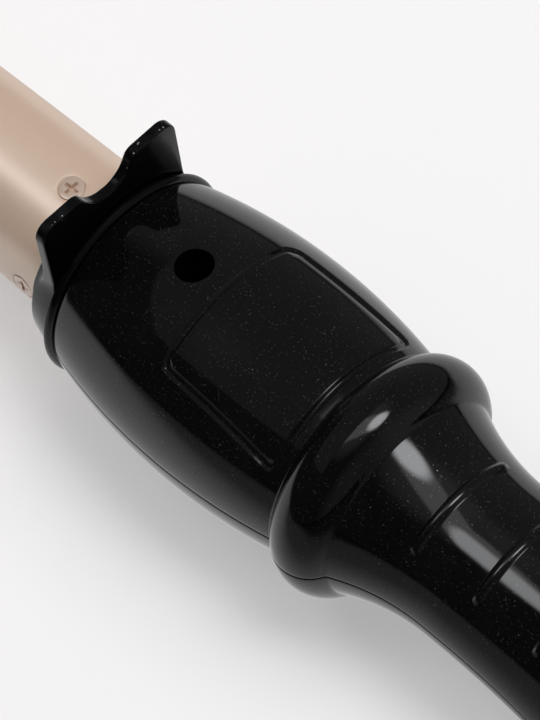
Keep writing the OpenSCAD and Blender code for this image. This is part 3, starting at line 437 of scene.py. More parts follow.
def join_grid(skin, rows, blocks=()):
    """Faces between the rows of an open grid, apart from the blocks left out."""
    for i in range(len(rows) - 1):
        for j in range(len(rows[i]) - 1):
            if any(a <= i < b and c <= j < d for a, b, c, d in blocks):
                continue
            skin.faces.append((rows[i][j], rows[i][j + 1], rows[i + 1][j + 1], rows[i + 1][j]))


def find_block(skin, rows, x, reach_x, reach_y):
    """The block of a grid that holds everything within a reach of a place on the crown."""
    xs = [skin.points[row[0]][0] for row in rows]
    first = max(i for i, place in enumerate(xs) if place <= x - reach_x)
    last = min(i for i, place in enumerate(xs) if place >= x + reach_x)
    ys = [skin.points[index][1] for index in rows[(first + last) // 2]]
    half = [j for j in range(len(ys)) if skin.points[rows[first][j]][2] > 0]
    left = max(j for j in half if ys[j] <= -reach_y)
    right = min(j for j in half if ys[j] >= reach_y)
    return first, last, left, right

# %% A hole's outline, for points that come from anywhere round it
class Pill:
    """A circle of a radius, stretched along the handle by straight sides."""

    def __init__(self, x, radius, straight=0.0):
        self.x = x
        self.radius = radius
        self.straight = straight

    def base(self, x, y):
        """The outline's point towards (x, y), as a middle and a direction outwards."""
        angle = math.atan2(y, x - self.x)
        c, s = math.cos(angle), math.sin(angle)
        if abs(s) > 1e-9 and self.radius * abs(c / s) <= self.straight:
            return self.x + self.radius * c / abs(s), math.copysign(1, s), 0.0
        reach = self.straight * abs(c) + math.sqrt(self.radius ** 2 - (self.straight * s) ** 2)
        middle = self.x + math.copysign(self.straight, c)
        return middle, reach * s / self.radius, (reach * c + self.x - middle) / self.radius

    def ring(self, towards, grow, height):
        """Points of the outline grown by a distance, at a height or on a surface."""
        points = []
        for x, y in towards:
            middle, side, ahead = self.base(x, y)
            u = middle + ahead * (self.radius + grow)
            v = side * (self.radius + grow)
            points.append((u, v, height(u, v) if callable(height) else height))
        return points

# %% [markdown]
# The same helper makes the screws' deep holes and the console. Rings between the block and the
# hole's edge are put back on the round surface, because a straight line between two points on it
# would cut below it.

# %% Carry a block's edge through rings
def sink(skin, edge, pill, steps, surface, shares=(0.35, 0.7)):
    """Joins a block's edge to rings of (grow, height) and returns the last ring."""
    towards = [skin.points[index][:2] for index in edge]
    rings = [pill.ring(towards, *step) for step in steps]
    lead = []
    for share in shares:
        plan = [(x + (u - x) * share, y + (v - y) * share)
                for (x, y), (u, v, z) in zip(towards, rings[0])]
        lead.append([(x, y, surface(x, y)) for x, y in plan])
    previous = edge
    for points in lead + rings:
        current = skin.row(points)
        skin.join(previous, current)
        previous = current
    return previous


def crown(radius_at):
    """The height of a round skin over a place in plan."""
    return lambda x, y: math.sqrt(radius_at(x) ** 2 - y * y)


def below(surface, drop):
    return lambda x, y: surface(x, y) - drop


handle_top = crown(handle_r)

# %% [markdown]
# ## The label side shell
# This is the side in the picture. It carries the outlined rating panel, a deep round hole for the
# front screw, a second one nearer the tail and five finger ribs. The groove and the ribs are
# pressed into the skin by a lift, so they blend into the surface with soft feet, as they do when
# they are cut into a mould and polished.

# %% The rating panel's groove and the finger ribs
GROOVE_HALF_W, GROOVE_FLAT, GROOVE_DEPTH = 0.62, 0.2, 0.4
RIB_X, RIB_PITCH, RIB_COUNT, RIB_HALF_ANGLE = 66.7, 11.7, 5, math.radians(44)
RIB_R, RIB_PROUD, RIB_FOOT = 0.9, 0.45, 0.1
rib_xs = [RIB_X + RIB_PITCH * i for i in range(RIB_COUNT)]


def smooth_share(value, low, high):
    share = min(max((value - low) / (high - low), 0), 1)
    return share * share * (3 - 2 * share)


def panel_distance(x, y):
    """Distance in plan from the rating panel's outline, negative inside it."""
    dx = abs(x - PANEL_FRONT_X - PANEL_LEN / 2) - PANEL_LEN / 2 + PANEL_CORNER_R
    dy = abs(y) - panel_half_w(x) + PANEL_CORNER_R
    return math.hypot(max(dx, 0), max(dy, 0)) + min(max(dx, dy), 0) - PANEL_CORNER_R


def rib_lift(x, arc):
    """Height of the nearest finger rib, a bead with round ends and soft feet."""
    nearest = min(rib_xs, key=lambda rib: abs(rib - x))
    span = RIB_HALF_ANGLE * handle_r(nearest) - RIB_R
    away = math.hypot(x - nearest, max(abs(arc) - span, 0))
    if away > 2 * RIB_R:
        return 0.0
    height = RIB_PROUD - arc_drop(RIB_R, min(away, RIB_R))
    return (height + math.hypot(height, RIB_FOOT)) / 2 - RIB_FOOT ** 2 / (4 * RIB_R)


def label_lift(x, arc):
    if x > BALL_X:
        return rib_lift(x, arc)
    radius = handle_r(x)
    away = abs(panel_distance(x, radius * math.sin(arc / radius)))
    return -GROOVE_DEPTH * (1 - smooth_share(away, GROOVE_FLAT, GROOVE_HALF_W))

# %% Where the rows of both shells lie
FRONT_STRETCHES = [(0.0, 0.06), (FRONT_ROUND, 0.8)]
BALL_STRETCHES = [(45.0, 0.12), (47.0, 0.3), (51.5, 0.4), (55.2, 0.1), (56.4, 0.7)]
TAIL_STRETCH = (HANDLE_LEN - TAIL_ROUND, 0.1)
RIB_REACH = 1.5 * RIB_R

label_stretches = list(FRONT_STRETCHES)
for edge_x in (PANEL_FRONT_X, PANEL_BACK_X):
    label_stretches += [(edge_x - BAND_HALF_W, 0.1), (edge_x + BAND_HALF_W, 0.8)]
label_stretches += BALL_STRETCHES
for rib_x in rib_xs:
    label_stretches += [(rib_x - RIB_REACH, 0.12), (rib_x + RIB_REACH, 0.9)]
label_stations = spaced(label_stretches + [TAIL_STRETCH], HANDLE_LEN)
button_stations = spaced(FRONT_STRETCHES + BALL_STRETCHES + [(GRIP_X, 1.2), TAIL_STRETCH], HANDLE_LEN)
print("rows across the shells:", len(label_stations), "and", len(button_stations))

# %% Sizes of the screw holes
SCREW_XS = [15.1, HANDLE_LEN - 28]
HOLE_R, HOLE_ROUND, HOLE_WALL_ZS, SEAT_Z, SEAT_T = 2.9, 0.22, (14.0, 9.0), 4.6, 1.5
SHANK_HOLE_R, TUBE_R = 1.55, 4.0
BLOCK_REACH, TUBE_FRONT, TUBE_BACK, TUBE_SIDE = 3.75, 0.02, 0.6, 0.4

seat_edge, tube_edge = SHANK_HOLE_R - HOLE_R, TUBE_R - HOLE_R
screw_hole_steps = [(grow, below(handle_top, drop)) for grow, drop in quarter_round(HOLE_ROUND)]
screw_hole_steps += [(0, z) for z in (*HOLE_WALL_ZS, SEAT_Z)]
screw_hole_steps += [(seat_edge, SEAT_Z), (seat_edge, SEAT_Z - SEAT_T), (tube_edge, SEAT_Z - SEAT_T)]

# %% [markdown]
# The shell's rows are joined into a grid with a block left out round each hole, inside and out.
# What is left open then closes with flat faces: the seam on each side, the front and the tail.

# %% Build a shell's two skins
def end_rounding(x):
    """How far the skin draws in at the shell's two rounded ends."""
    front, tail = max(FRONT_ROUND - x, 0), max(x - HANDLE_LEN + TAIL_ROUND, 0)
    return arc_drop(FRONT_ROUND, front) + arc_drop(TAIL_ROUND, tail)


def half_shell(stations, lift):
    """Both skins of a half shell that faces up, as grids of rows."""
    skin = Skin()
    outer = [skin.row(outer_row(x, handle_r(x) - end_rounding(x), lift)) for x in stations]
    coarse = set(spaced([(LIP_END, INNER_GAP)], END_WALL_X))
    for x in SCREW_XS:
        coarse |= {x - TUBE_R - TUBE_FRONT, x + TUBE_R + TUBE_BACK}
    inner = [skin.row(inner_row(x, r)) for x, r in inner_profile(sorted(coarse))]
    return skin, outer, inner


def close_shell(skin, outer, inner, outer_blocks, inner_blocks):
    """The faces of both skins, and the seam faces, the front and the tail between them."""
    join_grid(skin, outer, outer_blocks)
    join_grid(skin, inner, inner_blocks)
    for end in (0, -1):
        skin.fill([row[end] for row in outer] + [row[end] for row in reversed(inner)])
        skin.fill(outer[end] + inner[end][::-1])

# %% Build the label side shell
def label_shell():
    skin, outer, inner = half_shell(label_stations, label_lift)
    outer_blocks, inner_blocks = [], []
    for x in SCREW_XS:
        outer_blocks.append(find_block(skin, outer, x, BLOCK_REACH, BLOCK_REACH))
        inner_blocks.append(find_block(skin, inner, x, TUBE_R + TUBE_FRONT / 2, TUBE_R + TUBE_SIDE))
        edge = block_edge(outer, *outer_blocks[-1])
        hole = sink(skin, edge, Pill(x, HOLE_R), screw_hole_steps, handle_top)
        skin.zip(hole, block_edge(inner, *inner_blocks[-1]))
    close_shell(skin, outer, inner, outer_blocks, inner_blocks)
    make_piece("label_side_shell", skin, "handle", "handle_gloss", "rear_shell")


label_shell()

# %% [markdown]
# ## The button side shell
# The wand lies on this side, on the flat rim of the console round its buttons. The shell is built
# facing up like the other one and is then turned half round the axis. The console is a pill that
# stands out of the belly: a soft fillet, a short wall, a rounded rim, and a recess whose floor has
# four holes in it for the buttons and the light.

# %% Sizes of the console and its holes
CONSOLE_X, CONSOLE_HALF_LEN, CONSOLE_HALF_W, CONSOLE_RIM = 23.5, 20.8, 10.5, 1.1
CONSOLE_ROUND, RIM_ROUND, CONSOLE_MARGIN_X, CONSOLE_MARGIN_Y = 0.4, 0.1, 0.55, 1.2
RECESS_Z, FLOOR_Z = 19.25, 17.25
KEY_GAP, LENS_GAP, KEYS_X, KEYS_REACH, KEYS_MARGIN = 0.3, 0.15, 31.2, 12.4, 0.3
POWER_X, POWER_R = 23.5, 3.8
MINUS_X, PLUS_X, KEY_HALF_W, KEY_HALF_LEN = 33.9, 40.3, 2.5, 4.4
LIGHT_X, LENS_R = 29.3, 0.9
console = Pill(CONSOLE_X, CONSOLE_HALF_W, CONSOLE_HALF_LEN - CONSOLE_HALF_W)

console_steps = [(grow, below(handle_top, -lift)) for grow, lift in quarter_round(CONSOLE_ROUND, 4)]
console_steps += [(-inwards, AXIS_Z - drop) for drop, inwards in quarter_round(CONSOLE_ROUND)]
console_steps += [(RIM_ROUND - CONSOLE_RIM, AXIS_Z), (-CONSOLE_RIM, AXIS_Z - RIM_ROUND),
                  (-CONSOLE_RIM, RECESS_Z)]

# %% Outlines of the buttons and of their holes
BUTTON_SHAPES = {
    "power_button": (POWER_X, POWER_R, POWER_R),
    "minus_button": (MINUS_X, KEY_HALF_W, KEY_HALF_LEN),
    "plus_button": (PLUS_X, KEY_HALF_W, KEY_HALF_LEN),
}
hole_shapes = [(shape, KEY_GAP) for shape in BUTTON_SHAPES.values()]
hole_shapes.append(((LIGHT_X, LENS_R, LENS_R), LENS_GAP))


def outline_rows(skin, shape, steps, count=48):
    """Joined rows of (grow, height) steps round a pill across the handle, or a circle."""
    x, half_w, half_len = shape
    rows = []
    for grow, z in steps:
        reach = half_w + grow
        row = []
        for angle in even_turns(count):
            end = math.copysign(half_len - half_w, math.sin(angle))
            row.append((x + reach * math.cos(angle), end + reach * math.sin(angle), z))
        rows.append(row)
    return skin.sweep(rows)

# %% Build the button side shell
def turned_over(skin):
    skin.points = [(x, -y, -z) for x, y, z in skin.points]
    return skin


def button_shell():
    skin, outer, inner = half_shell(button_stations, lambda x, arc: 0.0)
    block = find_block(skin, outer, CONSOLE_X, CONSOLE_HALF_LEN + CONSOLE_MARGIN_X,
                       CONSOLE_HALF_W + CONSOLE_MARGIN_Y)
    rim = sink(skin, block_edge(outer, *block), console, console_steps, handle_top)
    inside = find_block(skin, inner, KEYS_X, KEYS_REACH, KEY_HALF_LEN + KEY_GAP + KEYS_MARGIN)
    floor = block_edge(inner, *inside)
    holes = [outline_rows(skin, shape, [(gap, RECESS_Z), (gap, FLOOR_Z)]) for shape, gap in hole_shapes]
    lip = skin.row([(*skin.points[index][:2], FLOOR_Z) for index in floor])
    skin.join(floor, lip)
    skin.fill(rim, *[hole[0] for hole in holes])
    skin.fill(lip, *[hole[-1] for hole in holes])
    close_shell(skin, outer, inner, [block], [inside])
    make_piece("button_side_shell", turned_over(skin), "handle", "handle_gloss", "front_shell")


button_shell()

# %% [markdown]
# ## The guard
# The black guard keeps fingers off the hot barrel. In use the wand is put down on the guard's two
# ears, which keep the barrel clear of the table. A collar round the barrel carries the belly's
# curve on, and the ears stand on it as a plate with a fillet at its foot. Every ray from the axis
# leaves the guard once, so it can be one grid: rows run round it, and each row has a reach from the
# axis at every angle.

# %% Sizes of the guard
COLLAR_X = ends("guard_flange")[0]
GUARD_X = COLLAR_X + 3.5
PLATE_BACK_X = GUARD_X + 1.8
BAND_END_X = PLATE_BACK_X + 0.7
EAR_HALF_W, EAR_TOP, EAR_CORNER_R = 13.3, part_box("guard_flange")[1].z / MM - AXIS_Z, 2.4
VALLEY_Z, VALLEY_R, VALLEY_ANGLE = 21.3, 5.0, math.radians(25)
GUARD_BORE_R, GUARD_NECK_R, GUARD_RIM_R = 12.65, 13.65, 14.85
NECK_END_X, RIM_END_X = 1.8, 3.6
EDGE_ROUND, COLLAR_ROUND, SIDE_BLEND, RIDGE_BLEND, FAR = 0.35, 0.5, 1.5, 0.5, 99.0
FILLET_ROWS, EAR_FADE, BAND_CLEAR, PLATE_INSET, PLATE_GAP, NUDGE = 32, 0.4, 0.5, 0.5, 0.2, 0.005

ROOT_ARC_R = 5.8
ROOT_X = GUARD_X - ROOT_ARC_R
ROOT_TOP = math.sqrt((BELLY_ARC_R + ROOT_ARC_R) ** 2 - (BELLY_X - ROOT_X) ** 2) + BELLY_R - BELLY_ARC_R
print(f"guard from {COLLAR_X:.2f} to {RIM_END_X:.2f} mm, ears {EAR_TOP:.2f} mm above the axis")

# %% The outline of the ears, as a reach at each angle from the crown
def arc_points(centre, radius, start, stop, count=24):
    turns = [math.radians(start + (stop - start) * i / count) for i in range(count + 1)]
    return [centre + radius * Vector((math.cos(a), math.sin(a))) for a in turns]


def straight(start, stop, count=30):
    return [start.lerp(stop, i / count) for i in range(1, count + 1)]


def ear_outline():
    """Half of the ears' outline, from the valley down the outer side."""
    valley = Vector((0, VALLEY_Z + VALLEY_R))
    slope = Vector((math.cos(VALLEY_ANGLE), -math.sin(VALLEY_ANGLE)))
    inner_arc_r = (EAR_TOP - (valley + VALLEY_R * slope).y) / (1 + slope.y)
    inner = valley + (VALLEY_R + inner_arc_r) * slope
    corner = Vector((EAR_HALF_W - EAR_CORNER_R, EAR_TOP - EAR_CORNER_R))
    degrees = math.degrees(VALLEY_ANGLE)
    points = arc_points(valley, VALLEY_R, -90, -degrees)
    points += arc_points(inner, inner_arc_r, 180 - degrees, 90)
    points += straight(points[-1], Vector((corner.x, EAR_TOP)))
    points += arc_points(corner, EAR_CORNER_R, 90, 0)
    return points + straight(points[-1], Vector((EAR_HALF_W, 0.0)), 90)


ear_rays = [(math.atan2(p.x, p.y), p.length) for p in ear_outline()]


def ear_reach(angle):
    """How far the ears reach from the axis along one ray."""
    for (a, r), (b, s) in zip(ear_rays, ear_rays[1:]):
        if a <= angle <= b:
            return r + (s - r) * (angle - a) / max(b - a, 1e-9)
    return ear_rays[0][1] if angle < ear_rays[0][0] else 0.0

# %% The guard's reach at every angle
GUARD_COLUMNS = 720
guard_angles = [math.tau * (i / GUARD_COLUMNS - 0.5) for i in range(GUARD_COLUMNS)]
ear_reaches = [ear_reach(abs(angle)) for angle in guard_angles]
bore = [GUARD_BORE_R] * GUARD_COLUMNS


def collar_reaches(x, limit=FAR):
    """The collar with the ears on it, which reach no further than a limit."""
    ears = [-blended(-limit, -ear, RIDGE_BLEND) for ear in ear_reaches]
    return [blended(belly(x), ear, SIDE_BLEND) for ear in ears]


def lowered(reaches, drop, low=0.0):
    """Reaches less a drop, but only where the ears reach past a distance from the axis."""
    shares = [smooth_share(ear, low - EAR_FADE, low + EAR_FADE) if low else 1.0 for ear in ear_reaches]
    return [reach - drop * share for reach, share in zip(reaches, shares)]


def between(first, second, share):
    return [a + (b - a) * share for a, b in zip(first, second)]


def guard_row(x, reaches):
    return [(x, r * math.sin(a), r * math.cos(a)) for r, a in zip(reaches, guard_angles)]

# %% The guard's rows, from the collar's bore over the ears to the band behind them
def root(x):
    """How high the fillet ahead of the ears has climbed."""
    return ROOT_TOP - math.sqrt(max(ROOT_ARC_R ** 2 - (x - ROOT_X) ** 2, 0))


def collar_rows():
    """The collar's front face, its rounded edge and the fillet up to the plate."""
    rows = [guard_row(COLLAR_X + back, lowered(bore, -out)) for back, out in quarter_round(EDGE_ROUND)]
    edge = lowered(collar_reaches(COLLAR_X, root(COLLAR_X)), COLLAR_ROUND)
    rows += [guard_row(COLLAR_X, between(lowered(bore, -EDGE_ROUND), edge, share)) for share in (0.3, 0.7)]
    for drop, back in quarter_round(COLLAR_ROUND):
        x = COLLAR_X + back
        rows.append(guard_row(x, lowered(collar_reaches(x, root(x)), drop)))
    first = math.asin((COLLAR_X + COLLAR_ROUND + 0.1 - ROOT_X) / ROOT_ARC_R)
    for k in range(FILLET_ROWS + 1):
        x = ROOT_X + ROOT_ARC_R * math.sin(first + (math.pi / 2 - first) * k / FILLET_ROWS)
        rows.append(guard_row(x, collar_reaches(x, root(x))))
    return rows


def plate_rows():
    """The ears' front face, their rounded edges and their back face."""
    foot, tops = collar_reaches(GUARD_X, ROOT_TOP), collar_reaches(GUARD_X)
    edge = lowered(tops, EDGE_ROUND, ROOT_TOP)
    rows = [guard_row(GUARD_X + NUDGE * k, between(foot, edge, k / 5)) for k in range(1, 5)]
    for drop, back in quarter_round(EDGE_ROUND):
        x = GUARD_X + 5 * NUDGE + back
        rows.append(guard_row(x, lowered(collar_reaches(x), drop, ROOT_TOP)))
    inset_xs = spaced([(GUARD_X + PLATE_INSET, PLATE_GAP)], PLATE_BACK_X - PLATE_INSET)
    rows += [guard_row(x, collar_reaches(x)) for x in inset_xs]
    band = belly(PLATE_BACK_X)
    for ahead, drop in quarter_round(EDGE_ROUND):
        x = PLATE_BACK_X - ahead
        rows.append(guard_row(x, lowered(collar_reaches(x), drop, band + BAND_CLEAR)))
    edge = lowered(collar_reaches(PLATE_BACK_X), EDGE_ROUND, band + BAND_CLEAR)
    return rows + [guard_row(PLATE_BACK_X + NUDGE * k, between([band] * GUARD_COLUMNS, edge, 1 - k / 4))
                   for k in range(1, 5)]

# %% [markdown]
# Behind the plate the guard is round: a band that carries the belly's curve, a neck that the
# handle's lip grips and a rim that keeps it in. Extra rows close to the plate keep the smooth
# shading of its foot from spreading over the band.

# %% Build the guard
def guard():
    skin = Skin()
    back = [(PLATE_BACK_X + 5 * NUDGE, belly(PLATE_BACK_X), 0)]
    back += [(x, belly(x), 0) for x in (PLATE_BACK_X + 9 * NUDGE, BAND_END_X - 0.2)]
    back += [(BAND_END_X, belly(BAND_END_X), 0.12), (BAND_END_X, GUARD_NECK_R, 0.3),
             (NECK_END_X, GUARD_NECK_R, 0.2), (NECK_END_X, GUARD_RIM_R, 0.3),
             (RIM_END_X, GUARD_RIM_R, 0.3), (RIM_END_X, GUARD_BORE_R, 0)]
    round_rows = [ring(x, r, guard_angles) for x, r in rounded(back, closed=False)]
    skin.sweep(collar_rows() + plate_rows() + round_rows, closed=True)
    make_piece("guard", skin, "handle", "guard_plastic", "guard_flange")


guard()

# %% [markdown]
# ## The barrel
# The barrel is a drawn aluminium tube, anodised in a champagne tone. It narrows towards the tip
# along a gentle curve. Four countersunk screws hold it to the bush inside the handle, so its skin
# gets four dished holes, worked in by the same helper as the handle's screw holes. A dish is made
# at the crown and then turned to its own quarter of the barrel.

# %% Sizes of the barrel
BARREL_BASE_R, BARREL_TIP_R, BARREL_LEN, BARREL_CURVE, BARREL_WALL = 12.5, 9.3, 124.0, 1.4, 0.8
BARREL_END_X, BARREL_ROOT = ends("barrel")
BARREL_SCREW_X, SCREW_HEAD_R, SCREW_SHANK_R, SCREW_FIT = GUARD_X - 8.3, 2.0, 1.1, 0.15
BARREL_COLUMNS, DISH_REACH = 144, 2.9
QUARTER = BARREL_COLUMNS // 4


def barrel_r(x):
    ahead = max(GUARD_X - x, 0) / BARREL_LEN
    return BARREL_BASE_R - (BARREL_BASE_R - BARREL_TIP_R) * ahead ** BARREL_CURVE


dish_from, dish_to = BARREL_SCREW_X - DISH_REACH, BARREL_SCREW_X + DISH_REACH
barrel_stations = spaced([(BARREL_END_X, 3.0), (dish_from, 0.7), (dish_to, 1.0)], BARREL_ROOT)
dish_half = math.ceil(BARREL_COLUMNS * math.asin(DISH_REACH / BARREL_BASE_R) / math.tau)
dish_rows = barrel_stations.index(dish_from), barrel_stations.index(dish_to)
print(f"barrel from {BARREL_END_X:.1f} to {BARREL_ROOT:.1f} mm")

# %% Turn a piece of a skin to its own quarter
def quarter_turned(point, k):
    """A point turned k quarters round the axis."""
    x, y, z = point
    for _ in range(k):
        y, z = z, -y
    return x, y, z


def add_turned(skin, part, k, shared=()):
    """Adds a part turned k quarters to a skin, which may hold its first points already."""
    first = len(shared)
    own = skin.row([quarter_turned(point, k) for point in part.points[first:]])
    index = [*shared, *own]
    skin.faces += [tuple(index[i] for i in face) for face in part.faces]
    skin.fills += [tuple([index[i] for i in loop] for loop in loops) for loops in part.fills]
    return index


def dish(skin, edge, k):
    """Carries one block of the barrel's skin down into a countersunk hole."""
    upright = Skin()
    start = upright.row([quarter_turned(skin.points[i], -k % 4) for i in edge])
    rim, hole = SCREW_HEAD_R + SCREW_FIT, SCREW_SHANK_R + SCREW_FIT
    floor, surface = barrel_r(BARREL_SCREW_X) - BARREL_WALL, crown(barrel_r)
    steps = [(0.08, surface), (0.02, below(surface, 0.03)), (0, below(surface, 0.1)),
             (hole - rim, floor), (hole - rim, floor - 0.05)]
    last = sink(upright, start, Pill(BARREL_SCREW_X, rim), steps, surface, shares=(0.5,))
    index = add_turned(skin, upright, k, edge)
    return [index[i] for i in last]

# %% Build the barrel
def barrel_skin(skin, wall):
    """One skin of the tube at a depth, with a block left out at each screw."""
    rows = [skin.row(ring(x, barrel_r(x) - wall, even_turns(BARREL_COLUMNS))) for x in barrel_stations]
    blocks = [(*dish_rows, QUARTER * k - dish_half, QUARTER * k + dish_half) for k in range(5)]
    join_grid(skin, [row + row[:1] for row in rows], blocks)
    wraps = [row[-dish_half:] + row for row in rows]
    edges = [block_edge(wraps, *dish_rows, QUARTER * k, QUARTER * k + 2 * dish_half) for k in range(4)]
    return rows, edges


def barrel():
    skin = Skin()
    outer, outer_edges = barrel_skin(skin, 0)
    inner, inner_edges = barrel_skin(skin, BARREL_WALL)
    for k in range(4):
        skin.join(dish(skin, outer_edges[k], k), inner_edges[k])
    for end in (0, -1):
        skin.join(outer[end], inner[end])
    make_piece("barrel_tube", skin, "handle", "champagne_metal", "barrel")


barrel()

# %% [markdown]
# ## The barrel's screws
# Each screw head is flush with the barrel, with a chamfered rim and a cross recess that narrows
# towards its floor. The recess is cut by filling the flat of the head round a cross outline.

# %% Build the barrel's screws
CROSS_HALF_W, CROSS_REACH, CROSS_DEPTH, CROSS_FLOOR = 0.3, 1.25, 0.8, 0.55
SCREW_LEN, SCREW_DROP, RIM_CHAMFER, SCREW_SIDES = 3.4, 0.05, 0.12, 48


def cross_outline(scale=1.0):
    """Twelve corners of a cross, in order."""
    w, r = CROSS_HALF_W * scale, CROSS_REACH * scale
    corner = [(r, -w), (r, w), (w, w)]
    quarters = ((1, 0), (0, 1), (-1, 0), (0, -1))
    return [(x * c - y * s, x * s + y * c) for c, s in quarters for x, y in corner]


def upright_screw():
    """One countersunk screw at the barrel's crown."""
    part, top = Skin(), barrel_r(BARREL_SCREW_X) - SCREW_DROP
    profile = [(SCREW_HEAD_R - RIM_CHAMFER, 0), (SCREW_HEAD_R - 0.03, -0.04), (SCREW_HEAD_R, -RIM_CHAMFER),
               (SCREW_SHANK_R, -BARREL_WALL), (SCREW_SHANK_R, 0.4 - SCREW_LEN), (0.8, -SCREW_LEN)]
    shaft = outline_rows(part, (BARREL_SCREW_X, 0, 0), [(r, z + top) for r, z in profile], SCREW_SIDES)
    recess = part.sweep([[(x + BARREL_SCREW_X, y, top - depth) for x, y in cross_outline(scale)]
                         for scale, depth in ((1, 0), (CROSS_FLOOR, CROSS_DEPTH))])
    part.fill(shaft[0], recess[0])
    part.fill(recess[1])
    part.fill(shaft[-1])
    return part


screws = Skin()
for quarter in range(4):
    add_turned(screws, upright_screw(), quarter)
make_piece("barrel_screw_set", screws, "handle", "champagne_screw", "barrel_screws")

# %% [markdown]
# ## The tip cap and the cord gland
# Both are turned profiles. The tip cap is a cool plastic dome that closes the barrel. The gland
# swivels in the handle's tail: it has a nose outside, a spindle in its bearings and a thrust
# flange inside, and its bore is rounded so that it does not chafe the cord.

# %% Build the tip cap
TIP_X, TIP_SPIGOT_X = ends("tip_cap")
TIP_R, TIP_WALL, TIP_FIT, SPIGOT_FIT, TIP_COLUMNS = 9.6, 1.4, 0.05, 0.15, 96
spigot_r = barrel_r(BARREL_END_X) - BARREL_WALL - SPIGOT_FIT
shoulder = BARREL_END_X - TIP_FIT


def dome(radius, start, stop, count=20):
    """A quarter circle in front of the barrel, that stops just short of the axis."""
    turns = [math.radians(start + (stop - start) * i / count) for i in range(count + 1)]
    return [Vector((TIP_X + TIP_R - radius * math.sin(a), radius * math.cos(a))) for a in turns]


cap = Skin()
inside = dome(spigot_r - TIP_WALL, 89.5, 0.0) + [Vector((TIP_SPIGOT_X, spigot_r - TIP_WALL))]
outside = rounded([(TIP_SPIGOT_X, spigot_r, 0), (shoulder, spigot_r, 0.1), (shoulder, TIP_R, 0.25),
                   (TIP_X + TIP_R, TIP_R, 0)], closed=False)[:-1]
cap_rows = turned(cap, inside + outside + dome(TIP_R, 0.0, 89.5), TIP_COLUMNS, closed=False)
for row in (cap_rows[0], cap_rows[-1]):
    cap.fill(row)
make_piece("barrel_tip_cap", cap, "handle", "tip_plastic", "tip_cap")

# %% Build the cord gland
SPINDLE_X, NOSE_END_X = ends("cord_gland")
NOSE_X = HANDLE_LEN + 0.3
RING_SEAT_R, SPINDLE_R, THRUST_R, NOSE_R, CORD_BORE_R = 4.3, 5.3, 7.5, 7.6, 3.1
RING_SEAT_END, THRUST_X, THRUST_END = 145.65, 147.9, 149.9
gland = Skin()
turned(gland, rounded([
    (SPINDLE_X, CORD_BORE_R, 0.3), (SPINDLE_X, RING_SEAT_R, 0.3), (RING_SEAT_END, RING_SEAT_R, 0.1),
    (RING_SEAT_END, SPINDLE_R, 0.2), (THRUST_X, SPINDLE_R, 0.1), (THRUST_X, THRUST_R, 0.2),
    (THRUST_END, THRUST_R, 0.2), (THRUST_END, SPINDLE_R, 0.1), (NOSE_X, SPINDLE_R, 0.1),
    (NOSE_X, NOSE_R, 0.3), (NOSE_END_X, NOSE_R, 3.0), (NOSE_END_X, CORD_BORE_R, 0.8)]))
make_piece("swivel_gland", gland, "gland", "gland_plastic", "cord_gland")

# %% [markdown]
# ## The control panel, its buttons and its light
# The panel is a thin gloss plate in the console's recess. The buttons stand in its holes a little
# below its face, so that the wand never rests on them. Each has a rounded and slightly crowned
# face, and an edge inside the shell that keeps it in.

# %% Build the control panel
PANEL_Z = AXIS_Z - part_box("control_panel")[0].z / MM
PANEL_T, PANEL_FIT, PANEL_EDGE, PANEL_SIDES = 0.8, 0.15, 0.15, 120
plate_steps = [(0, PANEL_Z - PANEL_T), (0, PANEL_Z - PANEL_EDGE), (-0.05, PANEL_Z - 0.04),
               (-PANEL_EDGE, PANEL_Z)]
recess_spots = [(CONSOLE_X + math.cos(a), math.sin(a)) for a in even_turns(PANEL_SIDES)]

plate = Skin()
rims = [plate.sweep([console.ring(recess_spots, grow - PANEL_FIT - CONSOLE_RIM, z)
                     for grow, z in plate_steps])]
for shape, gap in hole_shapes:
    rims.append(outline_rows(plate, shape, [(gap - grow, z) for grow, z in plate_steps]))
for end in (0, -1):
    plate.fill(*[rim[end] for rim in rims])
make_piece("control_plate", turned_over(plate), "handle", "panel_gloss", "control_panel")

# %% Build the buttons
KEY_RECESS, KEY_EDGE, KEY_EDGE_T, KEY_ROUND, KEY_CROWN, KEY_FLAT = 0.2, 0.5, 0.6, 0.35, 0.06, 0.1
FACE_Z, EDGE_Z = PANEL_Z - KEY_RECESS, FLOOR_Z - 0.05


def raised(shape, edge, top, sides=48):
    """A button or a lens, with an edge that keeps it in the shell and a shaped top."""
    skin = Skin()
    foot = [(edge, EDGE_Z - KEY_EDGE_T), (edge, EDGE_Z), (0, EDGE_Z)]
    rows = outline_rows(skin, shape, foot + top, sides)
    for row in (rows[0], rows[-1]):
        skin.fill(row)
    return turned_over(skin)


for name, shape in BUTTON_SHAPES.items():
    run = shape[1] - KEY_ROUND - KEY_FLAT
    top = [(-inwards, FACE_Z - KEY_CROWN - drop) for drop, inwards in quarter_round(KEY_ROUND)]
    top += [(-KEY_ROUND - share * run, FACE_Z - KEY_CROWN * (1 - share) ** 2)
            for share in (0.25, 0.5, 0.75)]
    make_piece(name + "_cap", raised(shape, KEY_EDGE, top), name, "button_finish", name)

# %% Build the indicator's lens
LENS_EDGE, LENS_DOME = 0.4, 0.1
top = [(LENS_R * (math.cos(a) - 1), PANEL_Z - LENS_DOME * (1 - math.sin(a)))
       for a in (0.0, 0.3, 0.6, 0.9, 1.2, 1.45)]
lens = raised((LIGHT_X, LENS_R, LENS_R), LENS_EDGE, top, sides=32)
make_piece("light_lens", lens, "handle", "lens_red", "indicator_lens")

# %% [markdown]
# ## Finishes as sums
# A finish is a small network of shader nodes. Wired up by hand it is hard to read, so one class
# wraps a socket and lets it stand in an ordinary Python expression: a sum of two wires adds the
# Math node for it. Everything else, such as a noise or a mix, comes from one method that takes the
# node's type, the values of its sockets and its settings.

